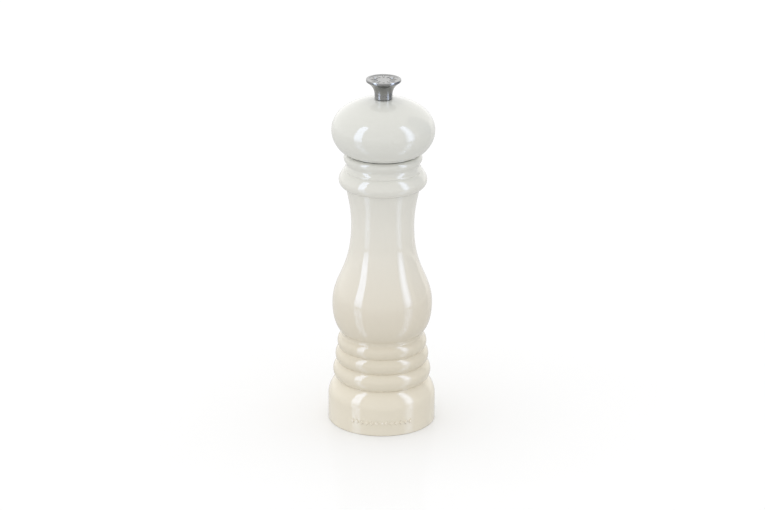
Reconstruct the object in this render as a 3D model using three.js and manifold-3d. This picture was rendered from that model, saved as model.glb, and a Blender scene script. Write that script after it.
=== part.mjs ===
// A nut-adjusted pepper mill, in millimetres, +Z up, standing on z = 0 with its axis on Z.
// Every round piece is an outline of (radius, height) points turned about that axis.
import * as THREE from "three";
import { mergeVertices } from "three/addons/utils/BufferGeometryUtils.js";
import Module from "manifold-3d";

const wasm = await Module();
wasm.setup();

// ---- Driving sizes: outside ------------------------------------------------------------------
const BASE_RADIUS = 31.8;
const BASE_STRAIGHT = 15; // height of the upright wall of the base
const BASE_EDGE = 0.6; // rounding where the base meets the table
const SHOULDER_ROUND = 14.4; // radius of the arc over the upright wall
const RINGS = [ // three turned rings above the base: how far in, how far up, how round
  { inset: 2.85, rise: 16.1, round: 6.8 },
  { inset: 4.2, rise: 25.75, round: 6.2 },
  { inset: 5.4, rise: 33.9, round: 5.9 },
];
const BULB_FOOT_RISE = 41; // from the top of the upright wall to the crease under the bulb
const BULB_FOOT_RADIUS = 24.5;
const BULB_CREASE = 0.55; // how far the line is drawn in between the top ring and the bulb
const RING_END_ANGLE = 50; // degrees up the top ring where its arc ends
const BULB_RADIUS = 29.45;
const BULB_RISE = 17; // from the crease under the bulb to its widest point
const NECK_RADIUS = 18.5;
const NECK_RISE = 48.5; // from the bulb's widest point to the narrowest point of the neck
const COLLAR_RISE = 28.1; // from the neck's narrowest point to the collar's widest
const COLLAR_RADIUS = 25.8;
const COLLAR_ROUND = 4.9;
const COLLAR_ANGLES = [-82, 28]; // degrees between which the collar's arc is drawn
const QUIRK_RADIUS = 22.65; // small bead between the collar and the groove over it
const QUIRK_RISE = 6.3;
const QUIRK_ROUND = 0.95;
const QUIRK_ANGLES = [-25, 50];
const GROOVE_RADIUS = 21.2;
const GROOVE_RISE = 9.5;
const LIP_RADIUS = 22.9; // top ring of the body, under the head
const LIP_RISE = 13;
const LIP_ROUND = 2.9;
const LIP_FOOT_ANGLE = -35;
const MOUTH_RISE = 15.7; // from the collar's widest point to the body's top face
const HEAD_SEAM = 0.6; // open line between the body and the head
const FOOT_RADIUS = 21.8; // foot of the head
const FOOT_HEIGHT = 1;
const FOOT_EDGE = 0.3;
const FOOT_BEND = 1.3; // from the top of the foot to where the oval starts
const HEAD_RADIUS = 30.1;
const HEAD_DROP = 20.4; // half height of the oval that the lower half of the head follows
const HEAD_DOME = 19; // the same for the upper half
const HEAD_SQUARENESS = 2.13; // exponent of the upper oval: 2 is an ellipse
const HEAD_CUT_ANGLE = 33; // degrees below the widest line where the oval runs into the foot
const HEAD_SEAT_RADIUS = 6; // flat on top of the head, where the nut sits
const NUT_STEM_RADIUS = 5.2;
const NUT_STEM_HEIGHT = 2.8;
const NUT_FLARE_HEIGHT = 7.3;
const NUT_RADIUS = 10.2;
const NUT_RIM_HEIGHT = 1.6;
const NUT_EDGE = 0.5;
const NUT_RIM_EDGE = { inset: 0.3, rise: 0.4 }; // slope under the nut's rim
const NUT_BRIM = 1.2; // flat ring round the dish in the nut's top face
const NUT_DISH_DEPTH = 0.35;
const NUT_PETALS = 12; // raised petals in the dish
const NUT_PETAL = { middle: 0.62, reach: 0.25, halfWidth: 0.75 }; // first two as shares of the dish

// How the outline sweeps between two fixed points. "leave" and "arrive" are the two points that
// pull the curve, as shares of the way out and up from its start to its end.
const SWEEPS = {
  underBulb: { leave: [0.655, 0.194], arrive: [1, 0.553], steps: 4 },
  bulbToNeck: { leave: [0, 0.3485], arrive: [1, 0.4124], steps: 8 },
  neckToCollar: { leave: [0, 0.43], arrive: [0.61, 0.712], steps: 3 },
  collarToQuirk: { leave: [0.225, 0.333], arrive: [0.55, 0.805], steps: 2 },
  quirkToGroove: { leave: [0.54, 0.324], arrive: [1.09, 0.636], steps: 2 },
  headFoot: { leave: [0, 1.15], arrive: [0.62, 0], steps: 3 },
  nutFlare: { leave: [0.043, 0.466], arrive: [0.4255, 0.767], steps: 5 },
};

// ---- Driving sizes: the body's inner line, where it leaves the outer one ------------------------
const MOUTH_SLOPE = 2; // height of the slope under the seat of the hopper tube
const NECK_EASE = 1.2; // extra room beside the narrowest line of the neck
const NECK_EASE_DROP = 16; // and how far below that line it is reached
const HAUNCH = { inset: 4.6, rise: 19 }; // upper slope of the bulb
const BULB_SIDE = { inset: 1, rise: 8 };
const TOP_RING_INSET = 1.5;
const LOW_RING_INSET = 2.4;
const LOW_RING_DROP = 4;
const LEDGE_WIDTH = 3; // seat for the housing's flange
const LEDGE_HEIGHT = 6;

// ---- Driving sizes: walls and fits --------------------------------------------------------------
const WALL = 2.5; // moulded casings
const TUBE_WALL = 1.5;
const GAP = 0.3; // between pieces that are assembled and touch
const SLIDE_GAP = 0.4; // round pieces that pass each other
const SQUARE_GAP = 0.15; // on each side of the spindle's square
const SWEEP_GAP = 0.6; // feeder blades in their chamber
const SPOKE = 2.2;
const LAP = 0.5; // how far solids that are joined reach into each other
const THROUGH = 1; // how far a cutting solid reaches past the face that it cuts

// ---- Driving sizes: mechanism -------------------------------------------------------------------
const SPINDLE_SIDE = 5; // square steel rod
const THREAD_RADIUS = 2.45; // its round ends, as plain cylinders of the thread's outside radius
const SPINDLE_FOOT = 4.8; // height of its lower end over the table
const SQUARE_OVERLAP = 0.05; // how far the square part runs on below the carrier
const CLIP_GROOVE_RADIUS = 1.8;
const CLIP_THICKNESS = 0.8;
const CLIP_WIDTH = 2.2;
const CLIP_OPENING = 70; // degrees left open in the spring clip
const DRAW = 0.85; // how far the nut can raise or lower the spindle from the middle setting
const BASE_ROOM = 12; // depth of the open recess under the body
const FLANGE_THICKNESS = 2.6;
const BURR_HEIGHT = 12;
const BURR_SEAT = 3; // how far the burr ring reaches out past the chamber wall
const BURR_INLET = 1.6; // how far the burr's tooth line lies inside the chamber wall at its top
const BURR_THROAT = 2.7; // the same at its narrowest line
const BURR_OUTLET = 0.9; // and at its bottom edge
const BURR_THROAT_RISE = 4.6; // height of the narrowest line over the burr's bottom
const BURR_TEETH = 24;
const BURR_TOOTH = 0.7;
const BURR_GAP = 0.75; // grinding gap at the middle setting
const ROTOR_TEETH = 18;
const ROTOR_WALL = 1.5;
const RETAINER_THICKNESS = 2.5;
const RETAINER_LIP = 3.1; // how far the retainer reaches in under the burr ring
const CARRIER_FLANGE = 1.8;
const CARRIER_INSET = 1; // how far the carrier's flange stays inside the rotor's teeth
const CHAMBER_HEIGHT = 16; // from the burr ring to the bearing bridge
const BRIDGE_THICKNESS = 3.5;
const BRIDGE_SPOKES = 4;
const BRIDGE_HUB_WALL = 1.6;
const SOCKET_DEPTH = 10; // how far the hopper tube enters the housing
const SOCKET_SLOPE = 3; // height of the slope where the housing widens into the socket
const FEEDER_BLADES = 4;
const FEEDER_BLADE = 1.6;
const FEEDER_TWIST = 38; // degrees that a blade turns from bottom to top
const FEEDER_WALL = 1.3;
const FEEDER_JOURNAL_WALL = 1.2;
const FEEDER_JOURNAL_RISE = 1.4; // how far the journal stands out over the bearing bridge
const FEEDER_ROOF = 2.4; // thickness over the spring's room
const BLADE_STEPS = 4;
const BLADE_DROP = 1; // how far a blade's top stays below the hub's
const SPRING_WIRE = 0.9;
const SPRING_TURNS = 5;
const SPRING_TURN_STEPS = 10;
const SPRING_END_GAP = 0.1;
const WASHER_THICKNESS = 0.8;
const TUBE_FLANGE = 2.4; // how far the tube's top flange reaches out
const TUBE_FLANGE_HEIGHT = 1.8;
const SPIGOT_DEPTH = 10.5; // how far the head's spigot enters the hopper
const SPIGOT_FLOOR = 2.2;
const SPIGOT_WALL = 1.8;
const SPIGOT_EDGE = 0.6;
const INSERT_THICKNESS = 2.2;
const PLATE_THICKNESS = 1.5;
const PLATE_MARGIN = 3.2; // spigot left showing outside the drive plate
const BUSH_WALL = 1.2;
const BUSH_LENGTH = 9;
const COLUMN_WALL = 1.6; // column inside the head, round the bush
const COLUMN_FOOT = 2; // how far the column and the rod's round end reach below the bush
const HEAD_RIM = 2; // step inside the head's foot, over the insert
const HEAD_HAUNCH = { inset: 2, drop: 6 }; // inner line of the head under its widest point
const DOME_ANGLES = [76, 57, 38, 19, 0]; // degrees up the inner oval of the head
const SPINDLE_EDGE = 0.6;

// ---- Driving sizes: screws ----------------------------------------------------------------------
const CASE_SCREW = { shank: 1.4, head: 2.6, headHeight: 1.5, length: 9 };
const BURR_SCREW = { shank: 1.1, head: 2.1, headHeight: 1.3, length: 9 };
const PLATE_SCREW = { shank: 0.9, head: 1.7, headHeight: 1, length: 6 };
const CASE_SCREWS = 3;
const BURR_SCREWS = 3;
const PLATE_SCREWS = 4;
const BOSS_WALL = 1.7; // material round a screw
const PLATE_BOSS_WALL = 1.2;
const PLATE_BOSS_HEIGHT = 4;
const PLATE_SCREW_OFFSET = 0.3; // outwards from the middle of the drive plate's rim
const HEAD_FACE = 0.75; // flat face of a screw's head, as a share of its radius
const RECESS = { arm: 1.2, width: 0.3, depth: 0.5 }; // cross: shares of head radius and height

// ---- Fineness -----------------------------------------------------------------------------------
const SHELL_SIDES = 32;
const ROUND_SIDES = 24;
const SMALL_SIDES = 12;
const SCREW_SIDES = 8;
const BEAD_STEPS = 4;
const HEAD_STEPS = { below: 4, above: 9 };
const SECTION_STEPS = 3; // petals and spring wire
const SAME_POINT = 0.02; // points of an outline that are nearer than this are one point
const MERGE_DISTANCE = 1e-4;

// ---- Heights that follow ------------------------------------------------------------------------
const bulbFootLevel = BASE_STRAIGHT + BULB_FOOT_RISE;
const bulbLevel = bulbFootLevel + BULB_RISE;
const neckLevel = bulbLevel + NECK_RISE;
const collarLevel = neckLevel + COLLAR_RISE;
const bodyTop = collarLevel + MOUTH_RISE;
const headBottom = bodyTop + HEAD_SEAM;
const ovalBottom = headBottom + FOOT_HEIGHT + FOOT_BEND;
const headLevel = ovalBottom + HEAD_DROP * Math.sin(radians(HEAD_CUT_ANGLE));
const headTop = headLevel + domeHeight(HEAD_SEAT_RADIUS);
const nutBottom = headTop + GAP;
const nutTop = nutBottom + NUT_STEM_HEIGHT + NUT_FLARE_HEIGHT + NUT_RIM_HEIGHT;

const flangeBottom = BASE_ROOM - GAP - FLANGE_THICKNESS;
const burrBottom = flangeBottom + GAP;
const burrTop = burrBottom + BURR_HEIGHT;
const chamberBottom = burrTop + GAP;
const bridgeSeat = chamberBottom + CHAMBER_HEIGHT;
const bridgeBottom = bridgeSeat + GAP;
const bridgeTop = bridgeBottom + BRIDGE_THICKNESS;
const tubeBottom = bridgeTop + GAP;
const socketTop = tubeBottom + SOCKET_DEPTH;
const tubeSeat = bodyTop - TUBE_FLANGE_HEIGHT - 3 * GAP;
const tubeTop = tubeSeat + GAP + TUBE_FLANGE_HEIGHT;
const retainerTop = flangeBottom - GAP;
const retainerBottom = retainerTop - RETAINER_THICKNESS;

// ---- Radii that follow --------------------------------------------------------------------------
const mouthRadius = NECK_RADIUS - WALL;
const tubeOuter = mouthRadius - SLIDE_GAP;
const hopperRadius = tubeOuter - TUBE_WALL;
const chamberRadius = hopperRadius;
const burrOuter = chamberRadius + BURR_SEAT;
const housingBore = burrOuter + GAP;
const housingOuter = housingBore + WALL;
const baseInner = BASE_RADIUS - WALL;
const ledgeInner = baseInner - LEDGE_WIDTH;
const flangeRadius = baseInner - GAP;
const spigotRadius = hopperRadius - SLIDE_GAP;
const spindleCorner = SPINDLE_SIDE * Math.SQRT1_2;
const squareHole = SPINDLE_SIDE + 2 * SQUARE_GAP;
const springInner = spindleCorner + 2 * GAP;
const springOuter = springInner + 2 * SPRING_WIRE;
const feederBore = springOuter + 2 * GAP;
const feederHub = feederBore + FEEDER_WALL;
const journalRadius = squareHole * Math.SQRT1_2 + FEEDER_JOURNAL_WALL;
const bridgeBore = journalRadius + SLIDE_GAP;
const carrierHub = springOuter;
const rotorBore = carrierHub + GAP;
const throatRadius = chamberRadius - BURR_THROAT;
const outletRadius = chamberRadius - BURR_OUTLET;
const inletRadius = chamberRadius - BURR_INLET;

// ---- Drawing help -------------------------------------------------------------------------------
function radians(degrees) {
  return (degrees * Math.PI) / 180;
}

function at(radius, height) {
  return new THREE.Vector2(radius, height);
}

// A point on a circle, seen from its centre at an angle in degrees above the outward direction.
function onCircle(centre, radius, angle) {
  const turn = radians(angle);
  return at(centre.x + radius * Math.cos(turn), centre.y + radius * Math.sin(turn));
}

function angleTo(centre, point) {
  return (Math.atan2(point.y - centre.y, point.x - centre.x) * 180) / Math.PI;
}

function arc(centre, radius, from, to, steps) {
  const turns = Array.from({ length: steps + 1 }, (_, i) => from + ((to - from) * i) / steps);
  return turns.map((turn) => onCircle(centre, radius, turn));
}

function sweep(start, end, { leave, arrive, steps }) {
  const [startPull, endPull] = [leave, arrive].map(([out, up]) =>
    at(start.x + out * (end.x - start.x), start.y + up * (end.y - start.y)));
  return new THREE.CubicBezierCurve(start, startPull, endPull, end).getPoints(steps);
}

// The crossing, farther from the axis, of two circles that stand over each other.
function crossing(a, b) {
  const between = b.centre.clone().sub(a.centre);
  const distance = between.length();
  const along = (a.round ** 2 - b.round ** 2 + distance ** 2) / (2 * distance);
  const aside = Math.sqrt(a.round ** 2 - along ** 2);
  between.normalize();
  return at(
    a.centre.x + between.x * along + between.y * aside,
    a.centre.y + between.y * along - between.x * aside,
  );
}

// Stretches of an outline, end to end, without the points that two stretches share.
function outline(...stretches) {
  const points = [];
  for (const point of stretches.flat()) {
    const last = points.at(-1);
    if (!last || last.distanceTo(point) > SAME_POINT) points.push(point);
  }
  return points;
}

// A solid of revolution about Z. An outline that leaves the axis free is closed on itself. It runs
// upwards on its outer side.
function revolved(points, sides = ROUND_SIDES) {
  const onAxis = points[0].x === 0 && points.at(-1).x === 0;
  const closed = onAxis ? points : [...points, points[0].clone()];
  return new THREE.LatheGeometry(closed, sides).rotateX(Math.PI / 2);
}

function ring(inner, outer, bottom, top, sides = ROUND_SIDES) {
  return revolved([at(inner, bottom), at(outer, bottom), at(outer, top), at(inner, top)], sides);
}

function disc(radius, bottom, top, sides = ROUND_SIDES) {
  return revolved([at(0, bottom), at(radius, bottom), at(radius, top), at(0, top)], sides);
}

function block(width, depth, bottom, top, x = 0, y = 0) {
  return new THREE.BoxGeometry(width, depth, top - bottom).translate(x, y, (bottom + top) / 2);
}

// A round bar standing beside the axis.
function post(radius, bottom, top, distance, angle, sides = SCREW_SIDES) {
  const turn = radians(angle);
  return disc(radius, bottom, top, sides).translate(
    distance * Math.cos(turn),
    distance * Math.sin(turn),
    0,
  );
}

function around(count, firstAngle = 0) {
  return Array.from({ length: count }, (_, i) => firstAngle + (360 * i) / count);
}

// ---- Joining and cutting ------------------------------------------------------------------------
function solid(geometry) {
  const bare = new THREE.BufferGeometry();
  bare.setAttribute("position", geometry.getAttribute("position"));
  if (geometry.index) bare.setIndex(geometry.index);
  const merged = mergeVertices(bare, MERGE_DISTANCE);
  return new wasm.Manifold(
    new wasm.Mesh({
      numProp: 3,
      vertProperties: merged.attributes.position.array,
      triVerts: new Uint32Array(merged.index.array),
    }),
  );
}

// One geometry joined from several, less several others.
function made(joined, removed = []) {
  let result = solid(joined[0]);
  for (const geometry of joined.slice(1)) result = result.add(solid(geometry));
  for (const geometry of removed) result = result.subtract(solid(geometry));
  const mesh = result.getMesh();
  const geometry = new THREE.BufferGeometry();
  geometry.setAttribute("position", new THREE.BufferAttribute(mesh.vertProperties, 3));
  geometry.setIndex(new THREE.BufferAttribute(mesh.triVerts, 1));
  geometry.computeVertexNormals();
  return geometry;
}

// ---- Materials ----------------------------------------------------------------------------------
function material(color, roughness, metalness = 0) {
  return new THREE.MeshStandardMaterial({ color, roughness, metalness });
}

const glossyCream = material(0xdcd7c9, 0.15);
const glossyWhite = material(0xe3e2db, 0.15);
const hopperPlastic = material(0xd9d8d2, 0.45);
const blackPlastic = material(0x242424, 0.55);
const greyPlastic = material(0x6a6b6c, 0.5);
const ceramic = material(0xefece2, 0.35);
const steel = material(0xb4b4b4, 0.3, 1);
const springSteel = material(0x9b9c9e, 0.35, 1);
const satinSteel = material(0xaeaca8, 0.38, 1);

const mill = new THREE.Group();

function piece(name, geometry, finish) {
  const mesh = new THREE.Mesh(geometry, finish);
  mesh.name = name;
  mill.add(mesh);
  return mesh;
}

// ---- Body shell ---------------------------------------------------------------------------------
// The outer line from the table to the mouth: base, three rings, bulb, neck, collar and lip.
function bodyLine() {
  const beads = [
    { centre: at(BASE_RADIUS - SHOULDER_ROUND, BASE_STRAIGHT), round: SHOULDER_ROUND },
    ...RINGS.map(({ inset, rise, round }) => ({
      centre: at(BASE_RADIUS - inset - round, BASE_STRAIGHT + rise),
      round,
    })),
  ];
  const stretches = [[
    at(BASE_RADIUS - BASE_EDGE, 0),
    onCircle(at(BASE_RADIUS - BASE_EDGE, BASE_EDGE), BASE_EDGE, -45),
    at(BASE_RADIUS, BASE_EDGE),
  ]];
  let from = 0;
  beads.forEach((bead, i) => {
    const next = beads[i + 1];
    const to = next ? angleTo(bead.centre, crossing(bead, next)) : RING_END_ANGLE;
    stretches.push(arc(bead.centre, bead.round, from, to, BEAD_STEPS));
    if (next) from = angleTo(next.centre, crossing(bead, next));
  });
  const lastRing = stretches.at(-1).at(-1);
  const bulbFoot = at(BULB_FOOT_RADIUS, bulbFootLevel);
  const bulb = at(BULB_RADIUS, bulbLevel);
  const neck = at(NECK_RADIUS, neckLevel);
  const collarCentre = at(COLLAR_RADIUS - COLLAR_ROUND, collarLevel);
  const collar = arc(collarCentre, COLLAR_ROUND, ...COLLAR_ANGLES, 5);
  const quirkCentre = at(QUIRK_RADIUS - QUIRK_ROUND, collarLevel + QUIRK_RISE);
  const quirk = arc(quirkCentre, QUIRK_ROUND, ...QUIRK_ANGLES, 2);
  const groove = at(GROOVE_RADIUS, collarLevel + GROOVE_RISE);
  const lipCentre = at(LIP_RADIUS - LIP_ROUND, collarLevel + LIP_RISE);
  const lipAngle = (Math.asin((bodyTop - lipCentre.y) / LIP_ROUND) * 180) / Math.PI;
  stretches.push(
    [at(bulbFoot.x - BULB_CREASE, (lastRing.y + bulbFoot.y) / 2)],
    sweep(bulbFoot, bulb, SWEEPS.underBulb),
    sweep(bulb, neck, SWEEPS.bulbToNeck),
    sweep(neck, collar[0], SWEEPS.neckToCollar),
    collar,
    sweep(collar.at(-1), quirk[0], SWEEPS.collarToQuirk),
    quirk,
    sweep(quirk.at(-1), groove, SWEEPS.quirkToGroove),
    arc(lipCentre, LIP_ROUND, LIP_FOOT_ANGLE, lipAngle, 3),
  );
  return outline(...stretches);
}

// The inner line, from the mouth down to the table, one wall inside the outer one.
function bodyCavity() {
  const lowRing = RINGS[0];
  const topRing = RINGS.at(-1);
  const collarInner = COLLAR_RADIUS - WALL;
  const bulbInner = BULB_RADIUS - WALL;
  const flangeBore = tubeOuter + TUBE_FLANGE + GAP;
  return [
    at(flangeBore, bodyTop),
    at(flangeBore, tubeSeat),
    at(mouthRadius, tubeSeat),
    at(mouthRadius, tubeSeat - WALL),
    at(GROOVE_RADIUS - WALL, tubeSeat - WALL - MOUTH_SLOPE),
    at(collarInner, collarLevel),
    at(mouthRadius + NECK_EASE, collarLevel - COLLAR_ROUND - WALL),
    at(mouthRadius, neckLevel),
    at(mouthRadius + NECK_EASE, neckLevel - NECK_EASE_DROP),
    at(bulbInner - HAUNCH.inset, bulbLevel + HAUNCH.rise),
    at(bulbInner - BULB_SIDE.inset, bulbLevel + BULB_SIDE.rise),
    at(bulbInner, bulbLevel),
    at(BULB_FOOT_RADIUS - WALL, bulbFootLevel),
    at(baseInner - topRing.inset - TOP_RING_INSET, BASE_STRAIGHT + topRing.rise),
    at(baseInner - lowRing.inset - LOW_RING_INSET, BASE_STRAIGHT + lowRing.rise - LOW_RING_DROP),
    at(ledgeInner, BASE_ROOM + LEDGE_HEIGHT),
    at(ledgeInner, BASE_ROOM),
    at(baseInner, BASE_ROOM),
    at(baseInner, 0),
  ];
}

const casePilot = CASE_SCREW.shank + GAP;
const caseBoss = casePilot + BOSS_WALL;
const caseScrewCircle = ledgeInner - caseBoss / 2;
const caseScrewAngles = around(CASE_SCREWS, 30);

function bodyShell() {
  const shell = revolved([...bodyLine(), ...bodyCavity()], SHELL_SIDES);
  const bossTop = BASE_ROOM + CASE_SCREW.length;
  const bosses = caseScrewAngles.map((a) =>
    post(caseBoss, BASE_ROOM, bossTop, caseScrewCircle, a, SMALL_SIDES));
  const pilotTop = bossTop - BOSS_WALL;
  const pilots = caseScrewAngles.map((a) =>
    post(casePilot, BASE_ROOM - THROUGH, pilotTop, caseScrewCircle, a));
  return made([shell, ...bosses], pilots);
}

piece("body_shell", bodyShell(), glossyCream);

// ---- Hopper tube --------------------------------------------------------------------------------
piece(
  "hopper_tube",
  revolved([
    at(hopperRadius, tubeBottom),
    at(tubeOuter, tubeBottom),
    at(tubeOuter, tubeSeat + GAP),
    at(tubeOuter + TUBE_FLANGE, tubeSeat + GAP),
    at(tubeOuter + TUBE_FLANGE, tubeTop),
    at(hopperRadius, tubeTop),
  ]),
  hopperPlastic,
);

// ---- Grinder housing: flange, burr seat, feed chamber and tube socket -------------------------
const burrPilot = BURR_SCREW.shank + GAP;
const burrBoss = burrPilot + BOSS_WALL;
const burrScrewCircle = housingBore + burrBoss;
const burrScrewAngles = around(BURR_SCREWS, 90);
const burrScrewTop = retainerBottom - GAP + BURR_SCREW.length;

function grinderHousing() {
  const socketBore = tubeOuter + GAP;
  const flangeTop = flangeBottom + FLANGE_THICKNESS;
  const outside = revolved([
    at(housingBore, flangeBottom),
    at(flangeRadius, flangeBottom),
    at(flangeRadius, flangeTop),
    at(housingOuter, flangeTop),
    at(housingOuter, chamberBottom + WALL),
    at(socketBore + WALL, chamberBottom + WALL + SOCKET_SLOPE),
    at(socketBore + WALL, socketTop),
    at(socketBore, socketTop),
    at(socketBore, bridgeSeat),
    at(chamberRadius, bridgeSeat),
    at(chamberRadius, chamberBottom),
    at(housingBore, chamberBottom),
  ]);
  const bosses = burrScrewAngles.map((a) =>
    post(burrBoss, flangeBottom, burrScrewTop + BOSS_WALL, burrScrewCircle, a, SMALL_SIDES));
  const holes = [
    ...burrScrewAngles.map((a) =>
      post(burrPilot, flangeBottom - THROUGH, burrScrewTop + GAP, burrScrewCircle, a)),
    ...caseScrewAngles.map((a) =>
      post(casePilot, flangeBottom - THROUGH, flangeTop + THROUGH, caseScrewCircle, a)),
  ];
  return made([outside, ...bosses], holes);
}

piece("grinder_housing", grinderHousing(), blackPlastic);

// ---- Bearing bridge: a spoked ring between the chamber and the hopper ---------------------------
const spokeAngles = around(BRIDGE_SPOKES, 45);

function bearingBridge() {
  const hubRadius = bridgeBore + BRIDGE_HUB_WALL;
  const rim = ring(chamberRadius, tubeOuter, bridgeBottom, bridgeTop);
  const hub = ring(bridgeBore, hubRadius, bridgeBottom, bridgeTop);
  const reach = chamberRadius - hubRadius + 2 * LAP;
  const middle = (chamberRadius + hubRadius) / 2;
  const spokes = spokeAngles.map((a) =>
    block(reach, SPOKE, bridgeBottom, bridgeTop, middle).rotateZ(radians(a)));
  return made([rim, hub, ...spokes]);
}

piece("bearing_bridge", bearingBridge(), blackPlastic);

// ---- Burrs --------------------------------------------------------------------------------------
// Moves the points of a turned solid in or out in step with their angle, wherever a point lies on
// the toothed side: the radius changes by depth times a triangle wave with that many teeth.
function toothed(geometry, teeth, depth, isToothed) {
  const position = geometry.getAttribute("position");
  for (let i = 0; i < position.count; i++) {
    const x = position.getX(i);
    const y = position.getY(i);
    const z = position.getZ(i);
    const radius = Math.hypot(x, y);
    if (!isToothed(radius, z)) continue;
    const share = (((Math.atan2(y, x) / (2 * Math.PI)) * teeth) % 1 + 1) % 1;
    const wave = Math.round(share * 2) % 2;
    const factor = (radius + depth * wave) / radius;
    position.setXYZ(i, x * factor, y * factor, z);
  }
  return geometry;
}

function burrRing() {
  const line = [
    at(outletRadius, burrBottom),
    at(burrOuter, burrBottom),
    at(burrOuter, burrTop),
    at(inletRadius, burrTop),
    at(throatRadius, burrBottom + BURR_THROAT_RISE),
  ];
  const insideLimit = (burrOuter + inletRadius) / 2;
  const isToothed = (radius) => radius < insideLimit;
  return toothed(revolved(line, BURR_TEETH * 2), BURR_TEETH, BURR_TOOTH, isToothed);
}

piece("burr_ring", burrRing(), ceramic);

// The rotor's teeth end one grinding gap inside the ring's narrowest tooth line.
const rotorBottom = burrBottom + GAP;
const rotorTop = burrTop - GAP;
const rotorFoot = outletRadius - BURR_GAP;
const rotorThroat = throatRadius - BURR_GAP;
const rotorCrown = rotorBore + ROTOR_WALL;

function rotorSolid() {
  const line = [
    at(rotorBore, rotorBottom),
    at(rotorFoot - BURR_TOOTH, rotorBottom),
    at(rotorThroat - BURR_TOOTH, burrBottom + BURR_THROAT_RISE),
    at(rotorCrown - BURR_TOOTH, rotorTop),
    at(rotorBore, rotorTop),
  ];
  const isToothed = (radius) => radius > rotorBore + GAP;
  return toothed(revolved(line, ROTOR_TEETH * 2), ROTOR_TEETH, BURR_TOOTH, isToothed);
}

piece("rotor", rotorSolid(), ceramic);

// ---- Retainer under the burr ring, with its screws ----------------------------------------------
piece(
  "burr_retainer",
  made(
    [
      ring(burrOuter - RETAINER_LIP, housingOuter, retainerBottom, retainerTop),
      ...burrScrewAngles.map((a) =>
        post(burrBoss, retainerBottom, retainerTop, burrScrewCircle, a, SMALL_SIDES)),
    ],
    burrScrewAngles.map((a) =>
      post(burrPilot, retainerBottom - THROUGH, retainerTop + THROUGH, burrScrewCircle, a)),
  ),
  greyPlastic,
);

// A pan-head screw whose head lies below the face that it holds up, with a cross recess under it.
function screwFromBelow({ shank, head, headHeight, length }, face, distance, angle) {
  const headTop = face - GAP;
  const headBottom = headTop - headHeight;
  const body = revolved(
    [
      at(0, headBottom),
      at(head * HEAD_FACE, headBottom),
      at(head, headBottom + headHeight / 2),
      at(head, headTop),
      at(shank, headTop),
      at(shank, headTop + length - shank),
      at(0, headTop + length),
    ],
    SCREW_SIDES,
  );
  const recessTop = headBottom + headHeight * RECESS.depth;
  const arm = block(head * RECESS.arm, head * RECESS.width, headBottom - THROUGH, recessTop);
  const turn = radians(angle);
  return made([body], [arm, arm.clone().rotateZ(Math.PI / 2)]).translate(
    distance * Math.cos(turn),
    distance * Math.sin(turn),
    0,
  );
}

burrScrewAngles.forEach((angle, i) => {
  const screw = screwFromBelow(BURR_SCREW, retainerBottom, burrScrewCircle, angle);
  piece(`retainer_screw_${i + 1}`, screw, steel);
});

caseScrewAngles.forEach((angle, i) => {
  const screw = screwFromBelow(CASE_SCREW, flangeBottom, caseScrewCircle, angle);
  piece(`housing_screw_${i + 1}`, screw, steel);
});

// ---- Rotor carrier: a flanged hub that turns with the square spindle ----------------------------
const carrierTop = rotorTop + GAP;
const carrierShoulder = rotorBottom - GAP;
const carrierBottom = carrierShoulder - CARRIER_FLANGE;

piece(
  "rotor_carrier",
  made(
    [
      disc(carrierHub, carrierShoulder - LAP, carrierTop),
      disc(rotorFoot - BURR_TOOTH - CARRIER_INSET, carrierBottom, carrierShoulder),
    ],
    [block(squareHole, squareHole, carrierBottom - THROUGH, carrierTop + THROUGH)],
  ),
  blackPlastic,
);

// ---- Spindle ------------------------------------------------------------------------------------
const clipTop = carrierBottom - GAP;
const clipBottom = clipTop - CLIP_THICKNESS;
const bushTop = headTop - GAP;
const bushBottom = bushTop - BUSH_LENGTH;
const squareTop = bushBottom - DRAW - COLUMN_FOOT;
const nutBoreTop = nutTop - NUT_DISH_DEPTH - WALL;
const spindleTop = nutBoreTop - DRAW - GAP;

function spindleSolid() {
  const grooveBottom = clipBottom - GAP;
  const lowerEnd = revolved(
    [
      at(0, SPINDLE_FOOT),
      at(THREAD_RADIUS, SPINDLE_FOOT),
      at(THREAD_RADIUS, grooveBottom),
      at(CLIP_GROOVE_RADIUS, grooveBottom),
      at(CLIP_GROOVE_RADIUS, carrierBottom),
      at(0, carrierBottom),
    ],
    SMALL_SIDES,
  );
  const rod = block(SPINDLE_SIDE, SPINDLE_SIDE, carrierBottom - SQUARE_OVERLAP, squareTop);
  const upperEnd = revolved(
    [
      at(0, squareTop - LAP),
      at(THREAD_RADIUS, squareTop - LAP),
      at(THREAD_RADIUS, spindleTop - SPINDLE_EDGE),
      at(THREAD_RADIUS - SPINDLE_EDGE, spindleTop),
      at(0, spindleTop),
    ],
    SMALL_SIDES,
  );
  return made([rod, lowerEnd, upperEnd]);
}

piece("spindle", spindleSolid(), steel);

// A spring clip: a flat ring that is open on one side, in the spindle's groove.
function clipSolid() {
  const inner = CLIP_GROOVE_RADIUS + GAP;
  const outer = inner + CLIP_WIDTH;
  const from = radians(CLIP_OPENING / 2);
  const to = 2 * Math.PI - from;
  const shape = new THREE.Shape();
  shape.absarc(0, 0, outer, from, to, false);
  shape.absarc(0, 0, inner, to, from, true);
  const settings = { depth: CLIP_THICKNESS, bevelEnabled: false, curveSegments: SMALL_SIDES };
  return new THREE.ExtrudeGeometry(shape, settings).translate(0, 0, clipBottom);
}

piece("carrier_clip", clipSolid(), springSteel);

// ---- Feeder: a hub with slanted blades that pushes the peppercorns down -------------------------
const feederTop = bridgeBottom - GAP;
const feederBottom = carrierTop + DRAW + 2 * GAP;
const feederCeiling = feederTop - FEEDER_ROOF;
const journalTop = bridgeTop + FEEDER_JOURNAL_RISE;

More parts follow.
